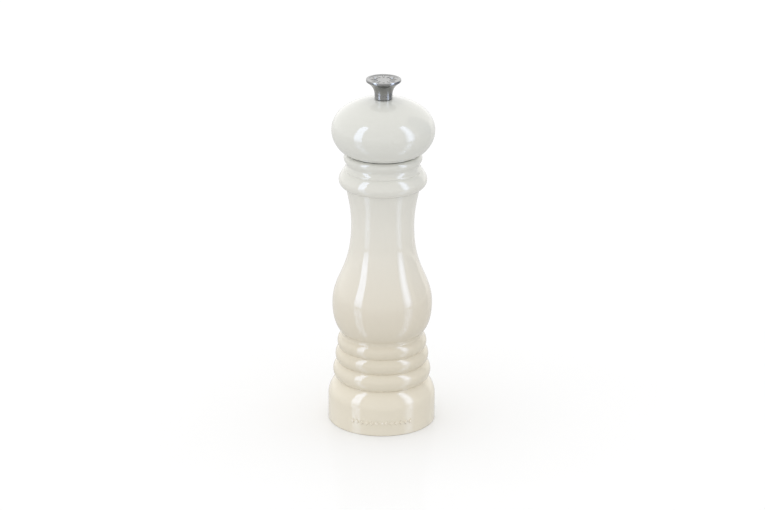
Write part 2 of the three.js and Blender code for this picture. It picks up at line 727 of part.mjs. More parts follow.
// A flat blade whose cross-section turns steadily with its height.
function blade(angle) {
  const reach = chamberRadius - SWEEP_GAP - feederHub + LAP;
  const height = feederTop - feederBottom - BLADE_DROP;
  const geometry = new THREE.BoxGeometry(reach, FEEDER_BLADE, height, 1, 1, BLADE_STEPS);
  geometry.translate(feederHub - LAP + reach / 2, 0, height / 2);
  const position = geometry.getAttribute("position");
  const point = new THREE.Vector3();
  const axis = new THREE.Vector3(0, 0, 1);
  for (let i = 0; i < position.count; i++) {
    point.fromBufferAttribute(position, i);
    const twist = FEEDER_TWIST * (point.z / height - 0.5);
    point.applyAxisAngle(axis, radians(angle + twist));
    position.setXYZ(i, point.x, point.y, point.z + feederBottom);
  }
  return geometry;
}

piece(
  "feeder",
  made(
    [
      disc(feederHub, feederBottom, feederTop),
      disc(journalRadius, feederTop - LAP, journalTop),
      ...around(FEEDER_BLADES, 45).map(blade),
    ],
    [
      disc(feederBore, feederBottom - THROUGH, feederCeiling),
      block(squareHole, squareHole, feederBottom, journalTop + THROUGH),
    ],
  ),
  greyPlastic,
);

// ---- Spring and its washer, inside the feeder's hub ---------------------------------------------
const washerTop = feederCeiling - GAP;
const springTop = washerTop - WASHER_THICKNESS - GAP;
const springBottom = carrierTop + GAP;

piece(
  "spring_washer",
  ring(spindleCorner + GAP, springOuter, washerTop - WASHER_THICKNESS, washerTop, SMALL_SIDES),
  steel,
);

class Helix extends THREE.Curve {
  constructor(radius, bottom, top, turns) {
    super();
    Object.assign(this, { radius, bottom, top, turns });
  }

  getPoint(t, target = new THREE.Vector3()) {
    const turn = 2 * Math.PI * this.turns * t;
    const height = this.bottom + (this.top - this.bottom) * t;
    return target.set(this.radius * Math.cos(turn), this.radius * Math.sin(turn), height);
  }
}

function springSolid() {
  const half = SPRING_WIRE / 2;
  const ends = [springBottom + half + SPRING_END_GAP, springTop - half - SPRING_END_GAP];
  const path = new Helix(springInner + SPRING_WIRE, ...ends, SPRING_TURNS);
  const section = new THREE.Shape();
  section.absellipse(0, 0, half, half, 0, 2 * Math.PI, false, 0);
  return new THREE.ExtrudeGeometry(section, {
    steps: SPRING_TURNS * SPRING_TURN_STEPS,
    curveSegments: SECTION_STEPS,
    extrudePath: path,
  });
}

piece("spring", springSolid(), springSteel);

// ---- Head shell ---------------------------------------------------------------------------------
// Height over the widest line where the domed half of the head has the given radius.
function domeHeight(radius) {
  return HEAD_DOME * (1 - (radius / HEAD_RADIUS) ** HEAD_SQUARENESS) ** (1 / HEAD_SQUARENESS);
}

// The outer line of the head from the foot over the widest point to the flat seat on top.
function headLine() {
  const below = Array.from({ length: HEAD_STEPS.below + 1 }, (_, i) => {
    const turn = radians(-HEAD_CUT_ANGLE * (1 - i / HEAD_STEPS.below));
    return at(HEAD_RADIUS * Math.cos(turn), headLevel + HEAD_DROP * Math.sin(turn));
  });
  const above = Array.from({ length: HEAD_STEPS.above }, (_, i) => {
    const turn = radians((90 * (i + 1)) / (HEAD_STEPS.above + 1));
    const radius = HEAD_RADIUS * Math.cos(turn) ** (2 / HEAD_SQUARENESS);
    return at(radius, headLevel + domeHeight(radius));
  }).filter((point) => point.x > HEAD_SEAT_RADIUS);
  const footTop = at(FOOT_RADIUS, headBottom + FOOT_HEIGHT);
  return outline(
    [at(FOOT_RADIUS - FOOT_EDGE, headBottom), at(FOOT_RADIUS, headBottom + FOOT_EDGE)],
    sweep(footTop, below[0], SWEEPS.headFoot),
    below,
    above,
    [at(HEAD_SEAT_RADIUS, headTop)],
  );
}

const bushRadius = THREAD_RADIUS + SLIDE_GAP + BUSH_WALL;
const headHole = bushRadius + GAP;
const columnRadius = headHole + COLUMN_WALL;
const insertRadius = FOOT_RADIUS - WALL - GAP;
const insertTop = headBottom + GAP + INSERT_THICKNESS;

function headShell() {
  const innerFloor = insertTop + GAP;
  const innerTop = headTop - WALL;
  const columnBottom = bushBottom - COLUMN_FOOT;
  const columnBore = THREAD_RADIUS + 2 * SLIDE_GAP;
  const innerWide = HEAD_RADIUS - WALL;
  const innerFoot = FOOT_RADIUS - WALL;
  const power = 2 / HEAD_SQUARENESS;
  const innerDome = DOME_ANGLES.map((angle) => {
    const turn = radians(angle);
    const rise = (HEAD_DOME - WALL) * Math.sin(turn) ** power;
    return at(innerWide * Math.cos(turn) ** power, headLevel + rise);
  });
  return revolved(
    [
      ...headLine(),
      at(headHole, headTop),
      at(headHole, bushBottom - GAP),
      at(columnBore, bushBottom - GAP),
      at(columnBore, columnBottom),
      at(columnRadius, columnBottom),
      at(columnRadius, innerTop),
      ...innerDome,
      at(innerWide - HEAD_HAUNCH.inset, headLevel - HEAD_HAUNCH.drop),
      at(innerFoot - HEAD_RIM, innerFloor + 2 * GAP),
      at(innerFoot - HEAD_RIM, innerFloor),
      at(innerFoot, innerFloor),
      at(innerFoot, headBottom),
    ],
    SHELL_SIDES,
  );
}

piece("head_shell", headShell(), glossyWhite);

piece(
  "head_bush",
  ring(THREAD_RADIUS + SLIDE_GAP, bushRadius, bushBottom, bushTop, SMALL_SIDES),
  greyPlastic,
);

// ---- Head insert: a plate that closes the head, with a cup-shaped spigot into the hopper --------
const spigotBottom = tubeTop - SPIGOT_DEPTH;
const spigotFloor = spigotBottom + SPIGOT_FLOOR;
const spindlePassage = spindleCorner + SLIDE_GAP;
const plateRadius = spigotRadius - PLATE_MARGIN;
const platePilot = PLATE_SCREW.shank + GAP;
const plateScrewCircle = (plateRadius + spindleCorner + GAP) / 2 + PLATE_SCREW_OFFSET;
const plateScrewAngles = around(PLATE_SCREWS, 45);
const plateTop = spigotBottom - GAP;
const plateBottom = plateTop - PLATE_THICKNESS;

function headInsert() {
  const cup = revolved([
    at(spindlePassage, spigotBottom),
    at(spigotRadius - SPIGOT_EDGE, spigotBottom),
    at(spigotRadius, spigotBottom + SPIGOT_EDGE),
    at(spigotRadius, headBottom + GAP),
    at(insertRadius, headBottom + GAP),
    at(insertRadius, insertTop),
    at(spigotRadius - SPIGOT_WALL, insertTop),
    at(spigotRadius - SPIGOT_WALL, spigotFloor),
    at(spindlePassage, spigotFloor),
  ]);
  const bossRadius = platePilot + PLATE_BOSS_WALL;
  const bossTop = spigotFloor + PLATE_BOSS_HEIGHT;
  const bosses = plateScrewAngles.map((a) =>
    post(bossRadius, spigotFloor - LAP, bossTop, plateScrewCircle, a, SMALL_SIDES));
  const pilotTop = bossTop - PLATE_BOSS_WALL;
  const pilots = plateScrewAngles.map((a) =>
    post(platePilot, spigotBottom - THROUGH, pilotTop, plateScrewCircle, a));
  const passage = disc(spindlePassage, spigotBottom - THROUGH, insertTop);
  return made([cup, ...bosses], [...pilots, passage]);
}

piece("head_insert", headInsert(), hopperPlastic);

// ---- Drive plate: steel, with the square hole that turns the spindle ----------------------------
piece(
  "drive_plate",
  made(
    [disc(plateRadius, plateBottom, plateTop)],
    [
      block(squareHole, squareHole, plateBottom - THROUGH, plateTop + THROUGH),
      ...plateScrewAngles.map((a) =>
        post(platePilot, plateBottom - THROUGH, plateTop + THROUGH, plateScrewCircle, a)),
    ],
  ),
  steel,
);

plateScrewAngles.forEach((angle, i) => {
  const screw = screwFromBelow(PLATE_SCREW, plateBottom, plateScrewCircle, angle);
  piece(`drive_plate_screw_${i + 1}`, screw, steel);
});

// ---- Adjusting nut ------------------------------------------------------------------------------
function nutSolid() {
  const stemTop = nutBottom + NUT_STEM_HEIGHT;
  const rimBottom = stemTop + NUT_FLARE_HEIGHT;
  const dish = NUT_RADIUS - NUT_BRIM;
  const dishFloor = nutTop - NUT_DISH_DEPTH;
  const bore = THREAD_RADIUS + SLIDE_GAP;
  const turned = revolved(
    outline(
      [at(bore, nutBottom), at(NUT_STEM_RADIUS, nutBottom)],
      sweep(
        at(NUT_STEM_RADIUS, stemTop),
        at(NUT_RADIUS - NUT_RIM_EDGE.inset, rimBottom),
        SWEEPS.nutFlare,
      ),
      [
        at(NUT_RADIUS, rimBottom + NUT_RIM_EDGE.rise),
        at(NUT_RADIUS, nutTop - NUT_EDGE),
        at(NUT_RADIUS - NUT_EDGE, nutTop),
        at(dish, nutTop),
        at(dish - NUT_DISH_DEPTH, dishFloor),
        at(0, dishFloor),
        at(0, nutBoreTop),
        at(bore, nutBoreTop),
      ],
    ),
  );
  const { middle, reach, halfWidth } = NUT_PETAL;
  const shape = new THREE.Shape();
  shape.absellipse(dish * middle, 0, dish * reach, halfWidth, 0, 2 * Math.PI, false, 0);
  const settings = {
    depth: LAP,
    bevelEnabled: false,
    curveSegments: SECTION_STEPS,
  };
  const petal = new THREE.ExtrudeGeometry(shape, settings).translate(0, 0, dishFloor - LAP / 2);
  const petals = around(NUT_PETALS).map((a) => petal.clone().rotateZ(radians(a)));
  return made([turned, ...petals]);
}

piece("adjusting_nut", nutSolid(), satinSteel);

export default mill;
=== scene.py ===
"""A nut-adjusted pepper mill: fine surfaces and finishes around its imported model.

The script is laid out as an add-on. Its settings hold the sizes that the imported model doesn't
state, each operator makes one piece or a group of like pieces, and main() calls them in order.
Lengths are in metres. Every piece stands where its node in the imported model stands.
"""

import functools

import bmesh
import bpy
import numpy as np
from bpy.props import FloatProperty, FloatVectorProperty, IntProperty, PointerProperty
from bpy.types import Operator, Panel, PropertyGroup
from mathutils import Euler, Matrix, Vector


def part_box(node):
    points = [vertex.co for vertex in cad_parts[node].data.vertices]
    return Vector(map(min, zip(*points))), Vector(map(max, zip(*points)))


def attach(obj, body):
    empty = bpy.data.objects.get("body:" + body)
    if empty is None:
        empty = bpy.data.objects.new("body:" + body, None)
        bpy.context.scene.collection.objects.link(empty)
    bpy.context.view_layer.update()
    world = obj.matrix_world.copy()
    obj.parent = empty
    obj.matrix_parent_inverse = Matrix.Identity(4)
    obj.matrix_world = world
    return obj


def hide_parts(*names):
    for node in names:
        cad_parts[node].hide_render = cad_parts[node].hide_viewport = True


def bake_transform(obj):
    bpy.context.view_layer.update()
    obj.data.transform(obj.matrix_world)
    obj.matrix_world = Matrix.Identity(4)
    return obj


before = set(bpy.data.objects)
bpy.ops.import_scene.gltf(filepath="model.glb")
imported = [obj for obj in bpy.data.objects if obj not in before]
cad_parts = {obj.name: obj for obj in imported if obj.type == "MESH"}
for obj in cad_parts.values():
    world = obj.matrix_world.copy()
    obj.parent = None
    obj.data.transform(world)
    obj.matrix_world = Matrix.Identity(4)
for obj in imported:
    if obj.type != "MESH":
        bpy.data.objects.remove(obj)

bl_info = {
    "name": "Pepper mill",
    "version": (1, 0, 0),
    "blender": (4, 5, 0),
    "location": "3D View > Sidebar > Pepper Mill",
    "description": "Makes the pieces and finishes of a nut-adjusted pepper mill",
    "category": "Add Mesh",
}

MM = 0.001
FULL_TURN = 2 * np.pi
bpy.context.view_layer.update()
MERGE_DISTANCE = 1e-7  # points closer than this become one
SHARP_ANGLE = np.radians(32)  # edges that turn by more are shaded sharp
CASING_SIDES, FINE_SIDES, ROUND_SIDES = 160, 128, 96  # round the casings, large pieces and others


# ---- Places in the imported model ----
def floor_of(node):
    """Height of a node's lowest point."""
    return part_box(node)[0].z


def top_of(node):
    """Height of a node's highest point."""
    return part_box(node)[1].z


def radius_of(node):
    """Outer radius of a round node that stands on the mill's axis."""
    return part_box(node)[1].x


def half_width(node):
    """Half the width of a node that may stand beside the axis."""
    low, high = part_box(node)
    return (high.x - low.x) / 2


def centre_of(node):
    """The point (x, y) that a node's box has as its middle."""
    low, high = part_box(node)
    return np.array([(low.x + high.x) / 2, (low.y + high.y) / 2])


def nodes_named(stem):
    """The names of the numbered nodes that start with the stem."""
    return sorted(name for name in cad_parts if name.startswith(stem))


# ---- Settings ----
def length(name, description, default):
    """A length in metres that a user may change."""
    return FloatProperty(
        name=name, description=description, default=default, min=0, precision=5,
        unit="LENGTH", subtype="DISTANCE",
    )


def lengths(name, description, default):
    """Three lengths in metres, from the lowest ring to the highest."""
    return FloatVectorProperty(
        name=name, description=description, default=default, size=3, min=0, precision=5,
        unit="LENGTH", subtype="NONE",
    )


def colour(name, description, default):
    """A colour in linear light."""
    return FloatVectorProperty(
        name=name, description=description, default=default, size=3, min=0, max=1,
        subtype="COLOR",
    )


def number(name, description, default, **limits):
    """A plain number, with its limits where it has any."""
    return FloatProperty(name=name, description=description, default=default, **limits)


def count(name, description, default):
    """A whole number of teeth, petals or sides."""
    return IntProperty(name=name, description=description, default=default, min=1)


def angle(name, description, default):
    """An angle, kept in radians and shown in degrees."""
    return FloatProperty(
        name=name, description=description, default=np.radians(default),
        unit="ROTATION", subtype="ANGLE",
    )


class BodySettings(PropertyGroup):
    """Sizes of the body casing, from the table up."""

    base_straight: length("Base wall", "Height of the upright wall of the base", 15 * MM)
    base_edge: length("Base edge", "Rounding where the base meets the table", 0.6 * MM)
    shoulder_round: length("Shoulder", "Radius of the arc over the base wall", 14.4 * MM)
    ring_insets: lengths(
        "Ring insets", "How far each ring stands in from the base",
        (2.85 * MM, 4.2 * MM, 5.4 * MM),
    )
    ring_rises: lengths(
        "Ring rises", "Height of each ring's middle over the base wall",
        (16.1 * MM, 25.75 * MM, 33.9 * MM),
    )
    ring_rounds: lengths(
        "Ring rounds", "Radius of each ring's section", (6.8 * MM, 6.2 * MM, 5.9 * MM)
    )
    bulb_foot_rise: length("Crease height", "From the base wall to the crease", 41 * MM)
    bulb_foot_radius: length("Crease radius", "Radius of the crease under the bulb", 24.5 * MM)
    bulb_radius: length("Bulb radius", "Radius of the bulb at its widest", 29.45 * MM)
    bulb_rise: length("Bulb rise", "From the crease to the widest point", 17 * MM)
    neck_rise: length("Neck rise", "From the bulb's widest point to the neck", 48.5 * MM)
    neck_radius: length("Neck radius", "Radius of the neck at its narrowest", 18.5 * MM)
    collar_rise: length("Collar rise", "From the neck to the collar's widest point", 28.1 * MM)
    collar_radius: length("Collar radius", "Radius of the collar at its widest", 25.8 * MM)
    collar_round: length("Collar round", "Radius of the collar's section", 4.9 * MM)
    bead_radius: length("Bead radius", "Radius of the small bead over the collar", 22.65 * MM)
    bead_rise: length("Bead rise", "From the collar's middle to the bead's", 6.3 * MM)
    bead_round: length("Bead round", "Radius of the bead's section", 0.95 * MM)
    groove_radius: length("Groove radius", "Radius of the groove under the lip", 21.2 * MM)
    groove_rise: length("Groove rise", "From the collar's middle to the groove", 9.5 * MM)
    lip_radius: length("Lip radius", "Radius of the body's top ring", 22.9 * MM)
    lip_rise: length("Lip rise", "From the collar's middle to the lip's", 13 * MM)
    lip_round: length("Lip round", "Radius of the lip's section", 2.9 * MM)
    wall: length("Wall", "Thickness of the casing", 2.5 * MM)
    ledge: length("Ledge", "Width of the step that the grinder's flange meets", 3 * MM)
    boss_wall: length("Boss wall", "Material round a screw hole", 1.7 * MM)
    boss_cap: length("Boss cap", "Material over a screw hole", 3 * MM)


class TrimSettings(PropertyGroup):
    """Sizes of the raised trim on the base."""

    lozenges: count("Lozenges", "Raised lozenges in the row on the base", 13)
    spread: angle("Spread", "Angle that the row takes up round the base", 70)
    level: length("Level", "Height of the row's middle", 8 * MM)
    height: length("Height", "Height of a lozenge", 3.0 * MM)
    share: number(
        "Share", "Part of its place in the row that a lozenge fills", 0.86, min=0.1, max=1
    )
    relief: length("Relief", "How far a lozenge stands out", 0.6 * MM)
    root: length("Root", "How deep its back lies in the wall", 0.3 * MM)


class HeadSettings(PropertyGroup):
    """Sizes of the head casing."""

    foot_radius: length("Foot radius", "Radius of the head's foot", 21.8 * MM)
    foot_height: length("Foot height", "Height of the upright foot", 1 * MM)
    dome: length("Dome", "Half height of the oval over the widest line", 19 * MM)
    drop: length("Drop", "Half height of the oval under the widest line", 20.4 * MM)
    squareness: number(
        "Squareness", "Exponent of the upper oval; 2 is an ellipse", 2.13, min=1.5, max=4
    )
    cut: angle("Cut", "Angle under the widest line where the oval runs into the foot", 33)
    seat_radius: length("Seat radius", "Flat on top, where the nut sits", 6 * MM)
    wall: length("Wall", "Thickness of the casing", 2.5 * MM)
    column_wall: length("Column wall", "Thickness of the sleeve round the bush", 1.6 * MM)


class NutSettings(PropertyGroup):
    """Sizes of the adjusting nut."""

    stem_radius: length("Stem radius", "Radius of the stem", 5.2 * MM)
    stem_height: length("Stem height", "Height of the straight stem", 2.8 * MM)
    rim_height: length("Rim height", "Height of the rim", 1.6 * MM)
    edge: length("Edge", "Rounding of the rim", 0.35 * MM)
    land: length("Land", "Width of the flat between the rim and the dish", 1.1 * MM)
    dish_depth: length("Dish depth", "Depth of the dish in the top face", 0.35 * MM)
    bore_room: length("Bore room", "Room in the bore over the spindle's end", 1.15 * MM)
    petals: count("Petals", "Raised petals in the dish", 12)
    petal_length: length("Petal length", "Length of a petal", 4.4 * MM)
    petal_width: length("Petal width", "Width of a petal", 1.5 * MM)


class MechanismSettings(PropertyGroup):
    """Sizes of the pieces inside."""

    tube_wall: length("Tube wall", "Thickness of the hopper tube", 1.5 * MM)
    tube_flange: length("Tube flange", "Height of the hopper tube's flange", 1.8 * MM)
    gap: length("Gap", "Room between pieces that touch", 0.3 * MM)
    slide_gap: length("Slide gap", "Room between round pieces that pass", 0.4 * MM)
    spindle_side: length("Spindle side", "Side of the square spindle", 5 * MM)
    thread_radius: length("Thread radius", "Outside radius of the spindle's thread", 2.45 * MM)
    thread_pitch: length("Thread pitch", "Rise of the thread in one turn", 0.8 * MM)
    thread_depth: length("Thread depth", "Depth of the thread", 0.4 * MM)
    clip_groove: length("Clip groove", "Radius of the groove that holds the clip", 1.8 * MM)
    flange_thickness: length("Flange", "Thickness of the housing's flange", 2.6 * MM)
    housing_wall: length("Housing wall", "Thickness of the grinder housing", 2.5 * MM)
    burr_teeth: count("Burr teeth", "Coarse teeth inside the burr ring", 12)
    burr_fine_teeth: count("Fine teeth", "Fine teeth at the bottom of the burr ring", 48)
    rotor_teeth: count("Rotor teeth", "Coarse teeth on the rotor", 9)
    rotor_fine_teeth: count("Rotor fine teeth", "Fine teeth at the rotor's foot", 45)
    tooth_depth: length("Tooth depth", "Depth of the coarse teeth", 0.7 * MM)
    fine_tooth_depth: length("Fine tooth depth", "Depth of the fine teeth", 0.4 * MM)
    throat_rise: length("Throat rise", "From the burr's bottom to its narrowest line", 4.6 * MM)
    feeder_blades: count("Blades", "Blades of the feeder", 4)
    sweep_gap: length("Sweep gap", "Room between the blades and the chamber", 0.6 * MM)
    blade_thickness: length("Blade thickness", "Thickness of a blade", 1.6 * MM)
    blade_twist: angle("Blade twist", "Turn of a blade from bottom to top", 38)
    bridge_spokes: count("Spokes", "Spokes of the bearing bridge", 4)
    spoke_width: length("Spoke width", "Width of a spoke", 2.2 * MM)
    spring_wire: length("Spring wire", "Diameter of the spring's wire", 0.9 * MM)
    spring_turns: number("Spring turns", "Turns of the spring", 5, min=2)
    spring_end: number("Spring end", "Share of its height that each end turn climbs", 0.07)
    clip_opening: angle("Clip opening", "Angle left open in the spring clip", 70)


class ColourSettings(PropertyGroup):
    """Colours of the finishes, in linear light."""

    # The base colour is lightened as painted light, for the dimmer light near the table, and the
    # ring colour is darkened as painted shade.
    base: colour("Base", "Casing at the table", (0.80, 0.745, 0.625))
    ring: colour("Ring", "Casing at the turned rings", (0.685, 0.628, 0.51))
    bulb: colour("Bulb", "Casing at the bulb", (0.70, 0.65, 0.55))
    neck: colour("Neck", "Casing at the neck", (0.74, 0.72, 0.655))
    head: colour("Head", "Casing at the head", (0.68, 0.68, 0.635))
    steel: colour("Steel", "Bright steel", (0.30, 0.30, 0.295))
    dark_steel: colour("Dark steel", "Spring steel", (0.36, 0.37, 0.38))
    ceramic: colour("Ceramic", "Grinding ceramic", (0.80, 0.78, 0.72))
    black: colour("Black", "Black plastic", (0.018, 0.018, 0.019))
    grey: colour("Grey", "Grey plastic", (0.14, 0.145, 0.15))
    pale: colour("Pale", "Hopper plastic", (0.62, 0.55, 0.44))


class StageSettings(PropertyGroup):
    """Camera, lights and floor."""

    camera_distance: length("Camera distance", "From the mill's axis to the camera", 1.5996)
    camera_height: length("Camera height", "Height of the camera", 0.6835)
    camera_pitch: angle("Camera pitch", "How far the camera looks down", 19.97)
    camera_roll: angle("Camera roll", "Turn about the line of sight", 0.357)
    lens: number("Lens", "Focal length for a 36 mm sensor", 136.3, unit="CAMERA", min=10)
    strip_distance: length("Strip distance", "From the axis to a strip light", 0.8)
    strip_foot: length("Strip foot", "Height of a strip light's foot", 0.02)
    strip_top: length("Strip top", "Height of a strip light's top", 1.25)
    strip_light: number("Strip light", "Radiance of the strip lights", 7.6, min=0)
    shade_light: number("Shade light", "Radiance of the shade beside the right light", 0.55, min=0)
    strip_colour: colour("Strip colour", "Colour of the strip lights", (0.7, 0.79, 1.0))
    front_light: number("Front light", "Radiance of the surroundings in front", 1.27)
    back_light: number("Back light", "Radiance of the surroundings behind", 1.48)
    left_light: number("Light from the left", "Share there; the right has 2 less this", 1.06)
    zenith_light: number("Light from above", "Share of it that is left overhead", 0.75)
    floor_white: number("Floor white", "How much light the floor gives back", 0.8)
    floor_shade: number("Floor shade", "The same, as mirrored in the mill's gloss", 0.5)
    floor_mirror: number("Floor mirror", "Share of the floor that acts as a mirror there", 0.35)
    floor_boost: number("Floor boost", "How much whiter the floor is to the camera", 1.12)


class MillSettings(PropertyGroup):
    """All the settings of the pepper mill."""

    body: PointerProperty(type=BodySettings)
    trim: PointerProperty(type=TrimSettings)
    head: PointerProperty(type=HeadSettings)
    nut: PointerProperty(type=NutSettings)
    mechanism: PointerProperty(type=MechanismSettings)
    colours: PointerProperty(type=ColourSettings)
    stage: PointerProperty(type=StageSettings)


def settings():
    """The settings of the mill in this scene."""
    return bpy.context.scene.pepper_mill


# ---- Outlines: arrays of (radius, height) ----
def arc(centre, radius, first, last, steps=16):
    """Points of a circle: centre + radius (cos a, sin a), with a from first to last degrees."""
    turn = np.radians(np.linspace(first, last, steps + 1))
    return np.asarray(centre) + radius * np.column_stack([np.cos(turn), np.sin(turn)])


def angle_to(centre, point):
    """The angle, in degrees, at which a point is seen from the centre."""
    return np.degrees(np.arctan2(point[1] - centre[1], point[0] - centre[0]))


def sweep(start, pull_start, pull_end, end, steps=24):
    """Cubic curve: (1-t)^3 start + 3 (1-t)^2 t pull_start + 3 (1-t) t^2 pull_end + t^3 end."""
    t = np.linspace(0, 1, steps + 1)[:, None]
    points = np.array([start, pull_start, pull_end, end])
    weights = np.hstack([(1 - t) ** 3, 3 * (1 - t) ** 2 * t, 3 * (1 - t) * t**2, t**3])
    return weights @ points


def crossing(low, low_round, high, high_round):
    """Where two circles that stand over each other cross, on the side away from the axis.

    It lies (a^2 - b^2 + d^2) / 2d along the line of centres and the rest of a aside of it.
    """
    between = high - low
    distance = np.linalg.norm(between)
    along = (low_round**2 - high_round**2 + distance**2) / (2 * distance)
    aside = np.sqrt(low_round**2 - along**2)
    between = between / distance
    return low + between * along + np.array([between[1], -between[0]]) * aside


def eased(corners, radius, closed=True, steps=4):
    """An outline whose corners are rounded.

    Each corner becomes the curve (1-t)^2 a + 2 (1-t) t corner + t^2 b. Its ends a and b lie on the
    two edges, radius away from the corner, or just under half the edge where that is less.
    """
    corners = np.asarray(corners, float)
    ends = []
    for step in (1, -1):
        edge = np.roll(corners, step, 0) - corners
        size = np.linalg.norm(edge, axis=1, keepdims=True)
        cut = np.minimum(radius, 0.48 * size)
        if not closed:
            cut[[0, -1]] = 0
        ends.append(corners + edge / size * cut)
    t = np.linspace(0, 1, steps + 1)[:, None]
    a, b, corner = ends[0][:, None], ends[1][:, None], corners[:, None]
    return ((1 - t) ** 2 * a + 2 * (1 - t) * t * corner + t**2 * b).reshape(-1, 2)


def ring_line(inner, outer, bottom, top, edge=0.2 * MM):
    """The closed outline of a flat ring."""
    return eased([(inner, bottom), (outer, bottom), (outer, top), (inner, top)], edge)


# ---- Radii that change with the angle ----
def angles(sides):
    """The angles of evenly spread sides, starting at the x axis."""
    return np.arange(sides) * FULL_TURN / sides


def from_nearest(turn, copies):
    """Angle from the nearest of several directions spread evenly round the axis."""
    pitch = FULL_TURN / copies
    return (turn + pitch / 2) % pitch - pitch / 2


def square_radius(side, corner, turn):
    """Radius of a square with rounded corners.

    On a flat it is half the side over the cosine of the angle from the flat's middle. On a corner
    it is the far crossing with the corner's circle: c cos b + sqrt(r^2 - c^2 sin^2 b).
    """
    off = np.abs(from_nearest(turn, 4))
    half = side / 2
    reach = np.sqrt(2) * (half - corner)
    aside = np.pi / 4 - off
    inside = np.maximum(corner**2 - (reach * np.sin(aside)) ** 2, 0)
    on_corner = half * np.tan(off) > half - corner
    return np.where(on_corner, reach * np.cos(aside) + np.sqrt(inside), half / np.cos(off))


def cross_radius(arm, half, turn):
    """Radius of a cross: the arm's length over cos b, or its half width over sin b if less."""
    off = np.abs(from_nearest(turn, 4))
    return np.minimum(arm / np.cos(off), half / np.maximum(np.sin(off), 1e-6))


def sawtooth(share):
    """A leaning wave from 0 to 1: it rises over three quarters of a period and falls steeply."""
    return np.interp(share % 1, [0, 0.75, 1], [0, 1, 0])


def smooth_step(x):
    """3 x^2 - 2 x^3 between 0 and 1, and level outside."""
    x = np.clip(x, 0, 1)
    return x * x * (3 - 2 * x)


# ---- Surfaces: (points, quads) ----
def grid_quads(rows, columns, rows_meet):
    """The quads between neighbouring rows and columns of points; the columns always meet."""
    row, column = np.meshgrid(
        np.arange(rows if rows_meet else rows - 1), np.arange(columns), indexing="ij"
    )
    next_row, next_column = (row + 1) % rows, (column + 1) % columns
    corners = [(row, column), (row, next_column), (next_row, next_column), (next_row, column)]
    return np.stack([r * columns + c for r, c in corners], -1).reshape(-1, 4)


def turned(line, sides=ROUND_SIDES, closed=True):
    """A surface round the axis: (r cos a, r sin a, z).

    The line's rows are pairs of r and z, and each of the two is a number or an array by angle. The
    rows run upwards on the outer side. A closed surface ends where it starts, and an open one has
    its first and last row on the axis.
    """
    turn = angles(sides)
    radius, height = (
        np.array([np.broadcast_to(row[part], sides) for row in line]) for part in (0, 1)
    )
    points = np.stack([radius * np.cos(turn), radius * np.sin(turn), height], -1)
    return points.reshape(-1, 3), grid_quads(len(radius), sides, closed)


def bevelled(inner, outer, bottom, top, edge):
    """The rows of a flat ring with bevelled edges, whose radii may change with the angle."""
    return [
        (inner + edge, bottom), (outer - edge, bottom), (outer, bottom + edge), (outer, top - edge),
        (outer - edge, top), (inner + edge, top), (inner, top - edge), (inner, bottom + edge),
    ]


def threaded(shank, depth, pitch, heights, turn):
    """Radii of a screw thread by height and angle, fading in over the first turn.

    They are the shank's less the depth times |2 frac(z / pitch - a / 2 pi) - 1|.
    """
    share = heights[:, None] / pitch - turn / FULL_TURN
    fade = smooth_step((heights - heights[0]) / pitch)[:, None]
    return shank - depth * fade * np.abs(2 * (share % 1) - 1)


def lofted(sections):
    """A skin over closed sections, given as (section, point, 3), with its two ends closed."""
    first = np.broadcast_to(sections[0].mean(0), sections[0].shape)
    last = np.broadcast_to(sections[-1].mean(0), sections[-1].shape)
    rows = np.concatenate([first[None], sections, last[None]])
    return rows.reshape(-1, 3), grid_quads(len(rows), rows.shape[1], False)


def joined(*surfaces):
    """Several surfaces as one."""
    starts = np.cumsum([0] + [len(points) for points, _ in surfaces[:-1]])
    points = np.concatenate([points for points, _ in surfaces])
    quads = np.concatenate([quads + start for (_, quads), start in zip(surfaces, starts)])
    return points, quads


def shifted(surface, place):
    """A surface moved sideways by (x, y)."""
    points, quads = surface
    return points + np.array([place[0], place[1], 0]), quads


def spun(surface, copies, first=0.0):
    """Copies of a surface turned evenly about the axis, the first by the given angle."""
    points, quads = surface
    turn = first + angles(copies)
    cos, sin = np.cos(turn)[:, None], np.sin(turn)[:, None]
    x, y, z = points.T
    height = np.broadcast_to(z, (copies, len(z)))
    spread = np.stack([x * cos - y * sin, x * sin + y * cos, height], -1)
    offsets = np.arange(copies)[:, None, None] * len(points)
    return spread.reshape(-1, 3), (quads + offsets).reshape(-1, 4)


def post(radius, bore, bottom, top, bore_top, sides=32):
    """A round boss with a blind hole from below."""
    line = [
        (0, bore_top), (bore, bore_top), (bore, bottom), (radius, bottom), (radius, top), (0, top)
    ]
    return turned(eased(line, 0.15 * MM, closed=False), sides, closed=False)


# ---- Pieces ----
def make_piece(node, surface, body, slot, name=None):
    """A mesh object from a surface, smooth but for its sharp corners, in place of a node.

    It rides on a body, given by its name. Anything else, such as two bodies' names and the points
    where the first lets go and the second takes over, leaves it where it stands, on neither body.
    """
    name = name or node + "_fine"
    points, quads = surface
    mesh = bpy.data.meshes.new(name)
    mesh.vertices.add(len(points))
    mesh.vertices.foreach_set("co", points.astype(np.float32).ravel())
    mesh.loops.add(quads.size)
    mesh.loops.foreach_set("vertex_index", quads.astype(np.int32).ravel())
    mesh.polygons.add(len(quads))
    mesh.polygons.foreach_set("loop_start", np.arange(0, quads.size, 4, dtype=np.int32))
    mesh.update(calc_edges=True)
    shape = bmesh.new()
    shape.from_mesh(mesh)
    bmesh.ops.remove_doubles(shape, verts=shape.verts, dist=MERGE_DISTANCE)
    shape.to_mesh(mesh)
    shape.free()
    mesh.shade_smooth()
    mesh.set_sharp_from_angle(angle=SHARP_ANGLE)
    mesh.materials.append(finish_in(slot))
    piece = bpy.data.objects.new(name, mesh)
    bpy.context.scene.collection.objects.link(piece)
    if isinstance(body, str):
        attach(piece, body)
    else:
        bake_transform(piece)
    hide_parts(node)


